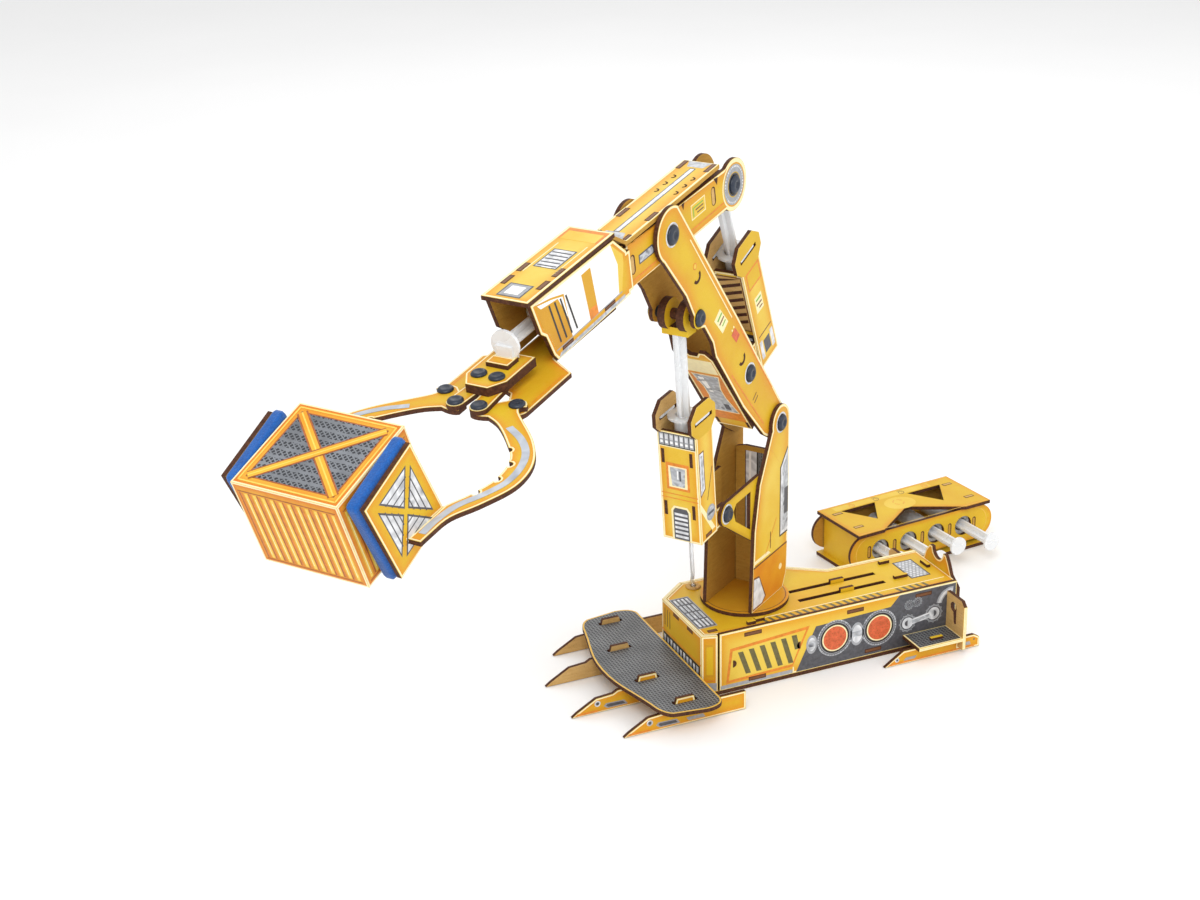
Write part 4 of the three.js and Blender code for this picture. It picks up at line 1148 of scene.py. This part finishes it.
def front_cylinder_prints():
    face = bars("cream", 1, (-15.4, 15.4, 68.4, 80.4)) + bars("black", 2, (-14.8, 14.8, 69.2, 79.8))
    for k in range(7):
        y = -14.2 + 4.1 * k
        face += bars("grey", 3, (y, y + 3.4, 70, 79.2)) + bars("white", 4, (y + 0.6, y + 2.6, 71.4, 73.4))
        face += bars("silver", 4, (y + 0.5, y + 2.8, 74.6, 78.4))
    face += bars("edge", 2, (-13.6, -11, 55, 66.4), (9.6, 12.2, 55, 66.4), (-13.6, -11, 12, 23.6),
                 (9.6, 12.2, 12, 23.6))
    face += bars("orange", 1, (-10.4, 8.8, 34, 56)) + bars("cream", 2, (-8.4, 6.8, 36, 53.4))
    face += [("metal", [(-7.2, 52.4), (5.6, 52.4), (4.6, 37.2), (-5.8, 37.2)], 3)]
    face += bars("white", 4, (-1.4, -0.4, 43, 50)) + bars("dark", 4, (0.4, 1.8, 42, 50))
    face += bars("orange", 2, (-15, 15, 30, 30.7), (-15, 15, 26.4, 27.1))
    face += [("cream", [(-8, 17), (-5.6, 20.6), (5.6, 20.6), (8, 17), (8, -7.4), (-8, -7.4)], 2),
             ("dark", [(-6.4, 16.4), (-4.8, 19), (4.8, 19), (6.4, 16.4), (6.4, -7.2), (-6.4, -7.2)], 3)]
    face += bars("silver", 4, *[(-5.4, 5.4, -5.6 + 3.7 * k, -3.6 + 3.7 * k) for k in range(6)])
    decals("front_housing_print", "front_cylinder", FRONT, "X", FRONT_AXIS + FRONT_HOUSING["depth"], 1, face)
    side = [("brown", [(34, 30), (34, 66), (26.6, 66), (26.6, 34)], 1),
            ("silver", [(33.2, 31.6), (33.2, 65), (27.6, 65), (27.6, 35)], 2),
            ("metal", [(31.6, 34), (31.6, 63), (29, 63), (29, 36)], 3),
            ("cream", [(35, 26), (35, 20), (20, -3), (15, -3)], 1),
            ("grey", disc_outline(20.5, 12, 6.4), 2), ("metal", disc_outline(20.5, 12, 4.8), 3),
            ("dark", rect(16, 25, 11, 13), 4),
            ("brown", [(24, 24), (24.8, 24), (16, 48), (15.2, 48)], 2)]
    side += slots([(25, -4)], 9, 3) + ear_print(FRONT_AXIS, FRONT_HOUSING)
    both_sides("front_housing_side", "front_cylinder", FRONT, FRONT_HOUSING["half"], side)


def rear_cylinder_prints():
    face = bars("brown", 1, (-11.6, 11.6, 18, 69)) + bars("bare", 2, (-10.6, 10.6, 19, 68))
    for k in range(7):
        z = 20.5 + 7 * k
        far_end = [(10.2, min(z + 9, 67.6)), (10.2, min(z + 6, 67.4))]
        face.append(("edge", [(-10.2, z), (-10.2, z + 3)] + far_end, 3))
    face += bars("black", 1, (-11.6, 11.6, -16, 15))
    face += bars("metal", 2, *[(-10.2, 10.2, -14 + 4.6 * k, -11.4 + 4.6 * k) for k in range(6)])
    decals("rear_housing_print", "rear_cylinder", REAR, "X", REAR_AXIS + REAR_HOUSING["depth"], 1, face)
    side = (bars("brown", 1, (-49.6, -29.6, 8, 9)) + bars("orange", 1, (-50, -29, 52, 68))
            + bars("yellow", 2, (-48.4, -30.6, 53.6, 66.4)) + bars("cream", 1, (-45, -34, 28, 42))
            + bars("green", 2, (-43.6, -35.4, 38, 39.6))
            + bars("brown", 2, (-43.6, -35.4, 34, 35.4), (-43.6, -38.4, 30.4, 31.6))
            + bars("silver", 1, (-50, -45.4, -12, 4), (-33, -28.6, -12, 4))
            + bars("dark", 1, (-44, -34.6, -10, 2)))
    side += ear_print(REAR_AXIS, REAR_HOUSING)
    both_sides("rear_housing_side", "rear_cylinder", REAR, REAR_HOUSING["half"], side)


def boom_prints():
    side = [("cream", slanted(-6.4, 4.4, 133, 151, 1.4), 2), ("green", slanted(-5, 3, 145.4, 147.2, 0.2), 3),
            ("brown", slanted(-5, 3, 141, 142.6, 0.2), 3), ("green", slanted(-5, 1, 137, 138.4, 0.2), 3),
            ("red", slanted(-10, -3, 109, 120, 0.8), 2), ("cream", slanted(-9, -7.6, 121, 123, 0.1), 3),
            ("cream", slanted(-6, -4.6, 121, 123, 0.1), 3),
            ("orange", disc_outline(-4, 206, 2.6, 14), 2), ("pale", disc_outline(-4, 206, 1.8, 14), 3),
            ("edge", ring_outline(-1, 198, 3.0, 5.4, 12, math.pi, math.pi), 3),
            ("edge", ring_outline(0, 92, 3.0, 5.4, 12, math.pi, math.pi), 3),
            ("orange", slanted(13, 14.2, 20, 96, 3.4), 2),
            ("orange", slanted(-13.4, -12.2, 30, 112, -0.8), 2),
            ("cream", slanted(-12, -11, 130, 226, -1), 2)]
    side += bars("brown", 2, (4, 11, 46, 47), (4, 11, 50, 51))
    both_sides("boom_print", "boom", BOOM, BOOM_W, side)
    cover = bars("cream", 1, (-12.6, 12.6, 104, 122)) + bars("orange", 1, (-13, 13, 36, 103))
    cover += [("cream", [(-11.4, 101), (11.4, 101), (7.2, 82), (7.2, 70), (11.4, 48), (-11.4, 48), (-7.2, 70),
                         (-7.2, 82)], 2),
              ("metal", [(-10.4, 100), (10.4, 100), (6.4, 82), (6.4, 70), (10.4, 49), (-10.4, 49), (-6.4, 70),
                         (-6.4, 82)], 3),
              ("white", [(-7.4, 97), (-2.6, 97), (-1, 76), (-4, 76)], 4), ("dark", rect(1.4, 6, 52, 60), 4),
              ("grey", [(-10, 92), (9, 97), (9, 94.6), (-9.4, 89.6)], 4),
              ("grey", [(-6.4, 80), (6.4, 84), (6.4, 81.6), (-6.4, 77.6)], 4)]
    cover += bars("edge", 2, (-14, -11.6, 28, 36), (11.6, 14, 28, 36))
    decals("boom_cover_print", "boom", BOOM, "X", COVER_X, 1, cover)


def half_moons(xs, ys):
    return [("edge", ring_outline(x, y, 1.6, 2.8, 10, 0.15, math.pi), 3) for x in xs for y in ys]


def roof_prints():
    tail = bars("dark", 1, (-66, 40, -2.2, 2.2)) + bars("silver", 2, (-65, 39, -1.5, 1.5))
    tail += bars("white", 3, (-64, 38, -0.5, 0.3))
    tail += [("metal", [(-77, -9), (-77, 9), (-68, 6), (-68, -6)], 1),
             ("metal", [(40, -7), (40, 7), (51, 11), (51, -11)], 1)]
    tail += slots([(-70, 11), (-70, -11), (12, 11), (12, -11)], 14, 3.6)
    tail += slots([(45, 11.4), (45, -11.4)], 8, 3)
    tail += half_moons((-50, -38, -26), (7.4, -7.6))
    decals("tail_roof_print", "forearm", FOREARM, "Z", TAIL_ROOF, 1, tail)
    roof = (bars("orange", 1, (70, 86, -15, 15)) + bars("pale", 2, (74, 86, -13, 13))
            + bars("dark", 2, (100, 126, -8, 9)) + bars("silver", 3, (101, 125, -7, 8))
            + bars("cream", 2, (92, 134, -10.6, -9.8), (92, 134, 11, 11.8))
            + bars("dark", 2, (150, 167, -8.6, 8.6)) + bars("grey", 3, (151, 166, -7.6, 7.6))
            + bars("white", 4, (153.4, 163.6, -5, 5)))
    for k in range(5):
        x = 104 + 4.6 * k
        roof += bars("dark", 4, (x, x + 1.4, -6.6, 7.6)) + bars("white", 4, (x + 2, x + 3, -2, 5))
    roof += slots([(129, 13), (129, -13), (147, 13), (147, -13)], 12, 3.8)
    decals("housing_roof_print", "forearm", FOREARM, "Z", HOUSING_ROOF, 1, roof)


def forearm_side_prints():
    nose = [(147, -12), (152.6, 2.4), (157.6, 7)]
    housing = [("white", [(163, 27), (74, 26.4), (61, 14), (61, 8), (66, -10)] + nose, 1),
               ("grey", [(66, -10), (66, -10.8), (147, -12.8), (147, -12)], 2),
               ("amber", [(163.4, 27), (146, 24), (132, 20), (128, -11.6)] + nose, 2),
               ("white", [(161.4, 25.6), (146, 22.6), (133.6, 19), (130, 2), (139, 20), (158, 22)], 3),
               ("amber", [(110.5, 22.4), (99.6, 22.8), (96, -11), (106, -11.4)], 2),
               ("orange", [(96, -11), (106, -11.4), (106.6, -4), (97.4, -4)], 3),
               ("pale", [(74, 26.4), (61, 14), (61, 8), (66, -10), (70, -10), (68, 10)], 2),
               ("metal", [(63, -16.2), (63, -13.6), (143, -15.6), (145, -18.2)], 1)]
    for k in range(4):
        x, high, low = 150 - 6.4 * k, 20 - 0.6 * k, -9
        housing.append(("black", [(x, high), (x - 1.7, high), (x - 9.7, low), (x - 8, low)], 4))
    housing += slots([(82, -12.6), (134, -14)], 13, 2.6)
    tail = bars("cream", 2, (-54, -34, -5.6, 5.6)) + bars("pale", 3, (-53.2, -34.8, -4.8, 4.8))
    tail += bars("green", 4, (-51, -38, 2, 3), (-37.6, -36.4, -4, 3))
    tail += bars("brown", 4, (-51, -40, -0.4, 0.6), (-51, -42, -3, -2))
    tail += bars("orange", 2, (-80, 50, -12.6, -11.4))
    tail += [("dark", [(14, -5), (20, 2), (38, 2), (38, -4.6)], 2),
             ("metal", [(17, -4.2), (21, 1), (37, 1), (37, -3.8)], 3),
             ("edge", [(-26, 12), (-22, 12), (-24, 7)], 3), ("edge", [(-74, 10), (-68, 11), (-72, 5)], 3)]
    for x in (-66, 46):
        tail += [("edge", capsule(x, -1, 3.0, 7.0), 2), ("bare", capsule(x + 0.6, -1, 2.0, 6.2), 3)]
    disc = [("cream", ring_outline(*TAIL, 15.8, 17.2, 40), 1),
            ("grey", ring_outline(*TAIL, 9.2, 14.6, 40), 1)]
    disc += dots("silver", 2, *TAIL, 13, 36, 0.8, 5)
    for side, sign in SIDES:
        decals(f"housing_side_print_{side}", "forearm", FOREARM, "Y", sign * HOUSING_W, sign, housing)
        decals(f"tail_side_print_{side}", "forearm", FOREARM, "Y", sign * TAIL_W, sign, tail)
        decals(f"tail_disc_print_{side}", "forearm", FOREARM, "Y", sign * TAIL_W, sign, disc)


# the middle line of the near claw, in the forearm's frame
CLAW_LINE = [(232, 36), (241, 50), (253, 61), (268, 67), (284, 68), (299, 63), (315, 55), (332, 52.6),
             (345, 53)]


def claw_inlay(side, sign):
    """A pale line along the middle of a claw."""
    path = smooth_path([(x, y, 0) for x, y in CLAW_LINE], 5)
    half_width = 2.3
    strips = []
    for offset in (half_width, -half_width):
        strip = []
        for k, point in enumerate(path):
            along = (path[min(k + 1, len(path) - 1)] - path[max(k - 1, 0)]).normalized()
            moved = point + offset * Vector((-along.y, along.x, 0))
            strip.append((moved.x, sign * moved.y))
        strips.append(strip)
    left, right = strips
    bm = bmesh.new()
    for k in range(len(path) - 1):
        prism(bm, [left[k], left[k + 1], right[k + 1], right[k]], FOREARM, "Z", CLAW_TOP + 0.2, 0.12)
    # the walls between two neighbouring lengths are taken out again
    bmesh.ops.remove_doubles(bm, verts=bm.verts, dist=0.001)
    walls = []
    for f in bm.faces:
        upright = [e for e in f.edges if e.calc_length() < 0.2]
        if (upright and abs(f.normal.dot(ARM_UP)) < 0.1 and any(len(e.link_faces) > 2 for e in f.edges)
                and all(len(e.link_faces) > 2 for e in upright)):
            walls.append(f)
    bmesh.ops.delete(bm, geom=walls, context="FACES_ONLY")
    emit(f"claw_inlay_{side}", bm, f"claw_{side}", "inlay")


def pad_print(side, sign):
    """Four ribbed triangles on the outer face of a pad's board."""
    place = FOREARM @ shift(CRATE["x"], 0, CRATE["z"]) @ turn(PAD["pitch"], "Y")
    face = CRATE["width"] / 2 + 2 * GAP + PAD["foam"] + BOARD
    a, b = PAD["length"] / 2 - 7, PAD["height"] / 2 - 7
    gap, shrink, ribs, rib_width = 2.2, 0.86, 4, 0.8
    corners = [Vector(corner) for corner in ((-a, -b), (a, -b), (a, b), (-a, b))]
    patches = []
    for k, p in enumerate(corners):
        q = corners[(k + 1) % 4]
        run = (q - p).normalized()
        middle = (p + q) / 2
        tip = middle * gap / (abs(middle.x) + abs(middle.y))
        trio = (p + run * gap * 1.3, q - run * gap * 1.3, tip)
        centre = sum(trio, Vector((0, 0))) / 3
        patches += [("dark", trio, 1), ("silver", [centre.lerp(corner, shrink) for corner in trio], 2)]
        depth = Vector((-run.y, run.x)) * rib_width
        for rib in range(1, ribs):
            left, right = (end.lerp(tip, rib / ribs) for end in trio[:2])
            patches.append(("dark", [left, right, right + depth, left + depth], 3))
    decals(f"pad_print_{side}", f"claw_{side}", place, "Y", sign * face, sign, patches)


def gripper_prints():
    for side, sign in SIDES:
        claw_inlay(side, sign)
        pad_print(side, sign)
    plate = bars("orange", 1, (162, 198, 29.4, 30.0), (162, 198, -30.0, -29.4))
    plate += [("orange", [(150, 14), (158, 29.4), (157.3, 29.7), (149.3, 14.3)], 1)]
    decals("gripper_plate_print", "forearm", FOREARM, "Z", GRIP_FLOOR + BOARD, 1, plate)


def crate_prints():
    half_x, half_y, half_z = CRATE["length"] / 2, CRATE["width"] / 2, CRATE["height"] / 2
    rim, brace, line = 7.0, 2.2, 3.2
    a, b = half_x - rim, half_y - rim
    patches = bars("rust", 1, (-a - 0.9, a + 0.9, -b - 0.9, b + 0.9)) + bars("mesh", 2, (-a, a, -b, b))
    for s in (1, -1):
        p, q = Vector((-a, -s * b)), Vector((a, s * b))
        run = (q - p).normalized()
        for width, ink, layer in ((brace + 1.0, "rust", 3), (brace, "crate", 4), (0.45, "crate_light", 5)):
            out = Vector((-run.y, run.x)) * width
            patches.append((ink, [p + out, p - out, q - out, q + out], layer + (0 if s > 0 else 3)))
    for x in (line - half_x, half_x - line):
        patches += bars("crate_light", 2, (x - 0.5, x + 0.5, 3 - half_y, half_y - 3))
    for y in (line - half_y, half_y - line):
        patches += bars("crate_light", 2, (3 - half_x, half_x - 3, y - 0.5, y + 0.5))
    decals("crate_top_print", "crate", CRATE_FRAME, "Z", half_z, 1, patches)
    sides = (("front", "X", half_x, 1, half_y), ("rear", "X", -half_x, -1, half_y),
             ("near", "Y", half_y, 1, half_x), ("far", "Y", -half_y, -1, half_x))
    random.seed(7)
    low, high, planks = 3.6 - half_z, half_z - 6.4, 11
    for name, axis, level, sign, half in sides:
        patches = []
        pitch = (2 * half - 7) / planks
        for k in range(planks):
            x = -half + 3.5 + pitch * k
            drop = random.uniform(0, 0.8)
            patches += bars("rust", 1, (x, x + 0.9, low + drop, high))
            patches += bars("crate_dark", 1, (x + 0.9, x + pitch * 0.42, low, high - drop))
            patches += bars("crate_light", 1, (x + pitch * 0.58, x + pitch * 0.9, low + 0.5, high - 0.6))
            patches += bars("cream", 2, (x + pitch * 0.66, x + pitch * 0.74, low + 3, high - 3 - 4 * drop))
        patches += bars("rust", 2, (-half + 3, half - 3, high + 0.6, high + 1.4),
                        (-half + 3, half - 3, low - 1.2, low - 0.5))
        decals(f"crate_{name}_print", "crate", CRATE_FRAME, axis, level, sign, patches)


def console_prints():
    lid = bars("line", 1, (-69, 69, 29.2, 29.8), (-69, 69, -29.8, -29.2))
    lid += bars("pale", 1, (-46, 58, -28, -20.5)) + [("pale", disc_outline(0, -6, 15, 24, 0.8), 1)]
    for x, ink in ((-40, "orange"), (-14, "brown"), (14, "brown"), (40, "orange")):
        lid += [(ink, ring_outline(x, -24, 3.0, 3.6, 18, 0.6, 4.6), 2),
                (ink, ring_outline(x, -24, 1.4, 1.9, 12, 2.4, 4.4), 2)]
    lid += [("orange", ring_outline(0, -8, 4.6, 5.2, 8, start, 1.0), 2) for start in (0.2, 1.8, 3.4, 5.0)]
    for x in (-60, 60):
        for y in (-16, 15):
            lid += bars("edge", 2, (x - 4.6, x + 4.6, y - 2, y + 2))
            lid += bars("bare", 3, (x - 4, x + 4, y - 1.2, y + 1.2))
    decals("console_lid_print", "base", CONSOLE_FRAME, "Z", CONSOLE["top"], 1, lid)
    z = CONSOLE_AXIS
    front = []
    for x in (-57, -30, 0, 30, 57):
        # the slots show the inner board, whose darker colour is painted shade
        front += [("edge", capsule(x, z, 1.9, 5.8), 2), ("inner", capsule(x + 0.3, z, 1.1, 4.8), 3)]
    for x in (-57, 57):
        start = -math.copysign(math.pi / 2, x)
        front.append(("line", ring_outline(x, z, 13.6, 14.2, 20, start, math.pi), 1))
    decals("console_front_print", "base", CONSOLE_FRAME, "Y", CONSOLE["width"] / 2 - 4, 1, front)


def peg(x, y, r, hole, sides):
    """A printed peg head: a light disc with a dark middle."""
    return [("silver", disc_outline(x, y, r, sides), 2), ("dark", disc_outline(x, y, hole, sides - 4), 3)]


def fork_prints():
    for name, y, tip in (("outer_near", 76, 139), ("inner_near", 33, 163), ("inner_far", -20, 163),
                         ("outer_far", -64, 139)):
        sign = 1 if y > 0 else -1
        wedge = [(-46, 2), (-43, 6), (-28, 6.4), (-26, 4.4), (-29, 2)]
        core = [(-44, 2.8), (-42, 5.2), (-29, 5.6), (-28, 4.2), (-30, 2.8)]
        patches = [("grey", [(tip + x, z) for x, z in wedge], 2),
                   ("dark", [(tip + x, z) for x, z in core], 3)]
        patches += peg(tip - 21, 7.6, 2.5, 1.4, 18) + peg(66, 9, 2.6, 1.5, 18)
        patches += [("grey", slanted(72, 86, 2, 5, 2), 2),
                    ("orange", [(tip - 1.6, 0.7), (tip - 22, 0.7), (tip - 20, 2.4), (tip - 4.6, 2.4)], 2)]
        decals(f"fork_print_{name}", "base", ROOT, "Y", y + sign * BOARD / 2, sign, patches)


def rear_foot_prints():
    for side, sign in SIDES:
        panel = (NEAR_Y if sign > 0 else NARROW_Y) + sign * GAP
        blade = panel + sign * FOOT_OUT
        patches = peg(-100, 4.4, 1.9, 1.0, 16)
        patches += [("orange", [(-92, 0.8), (-172, 0.8), (-170, 2.2), (-94, 2.2)], 2),
                    ("grey", slanted(-116, -106, 2.6, 5, -2), 2), ("grey", slanted(-168, -160, 3, 6, 1), 2),
                    ("dark", disc_outline(-171, 7, 0.7, 8), 2)]
        decals(f"rear_foot_print_{side}", "base", ROOT, "Y", blade + sign * BOARD / 2, sign, patches)
        tread = bars("tread", 2, (-155, -117.4, *sorted((panel + sign * 1, panel + sign * 23.6))))
        decals(f"rear_tread_print_{side}", "base", ROOT, "Z", TREAD_TOP, 1, tread)
        tabs(f"rear_foot_tab_{side}", TREAD_TOP + GAP, 2.2, (-136.5, blade, 11, BOARD))


base_side_prints()
front_prints()
deck_prints()
turntable_prints()
column_prints()
front_cylinder_prints()
rear_cylinder_prints()
boom_prints()
roof_prints()
forearm_side_prints()
gripper_prints()
crate_prints()
console_prints()
fork_prints()
rear_foot_prints()


# ---- foam pads -----------------------------------------------------------------------------------
def make_foam(side, sign):
    """A closed-cell foam block with soft edges: crowned faces, sides pulled in between the corners."""
    overhang, soft, crown, pull = 2, 2.6, 0.13, 0.012
    half = Vector((PAD["length"] / 2 + overhang, PAD["foam"] / 2, PAD["height"] / 2 + overhang))
    bm = bmesh.new()
    bmesh.ops.create_cube(bm, size=2)
    bmesh.ops.subdivide_edges(bm, edges=bm.edges, cuts=17, use_grid_fill=True)
    for v in bm.verts:
        a, b, c = v.co
        point = Vector((a * half.x, b * half.y, c * half.z))
        core = Vector(tuple(max(-h + soft, min(h - soft, p)) for p, h in zip(point, half)))
        away = point - core
        if away.length > 1e-6:
            point = core + away.normalized() * soft
        point.y *= 1 - crown * (abs(a) ** 4 + abs(c) ** 4) / 2
        point.x *= 1 - pull * (1 - c * c)
        point.z *= 1 - pull * (1 - a * a)
        v.co = point
    out = CRATE["width"] / 2 + GAP + PAD["foam"] / 2
    place = FOREARM @ shift(CRATE["x"], sign * out, CRATE["z"]) @ turn(PAD["pitch"], "Y")
    bmesh.ops.transform(bm, matrix=place, verts=bm.verts)
    for face in bm.faces:
        face.smooth = True
    pad = emit(f"foam_block_{side}", bm, f"claw_{side}", "foam")
    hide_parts(f"foam_pad_{side}")


for side_name, side_sign in SIDES:
    make_foam(side_name, side_sign)


# ---- hose sleeve ---------------------------------------------------------------------------------
def hose_sleeve():
    """The soft sleeve that joins the hose to the front cylinder's nipple."""
    bm = bmesh.new()
    lathe(bm, [(1.75, -8.5), (2.5, -8.5), (2.9, -6), (2.9, 4), (2.5, 5), (2.3, 5), (2.3, 0), (1.75, -0.6),
               (1.75, -8.5)], FRONT @ shift(FRONT_AXIS, 0, 0), 24)
    emit("hose_sleeve", bm, "front_cylinder", "clear")


hose_sleeve()
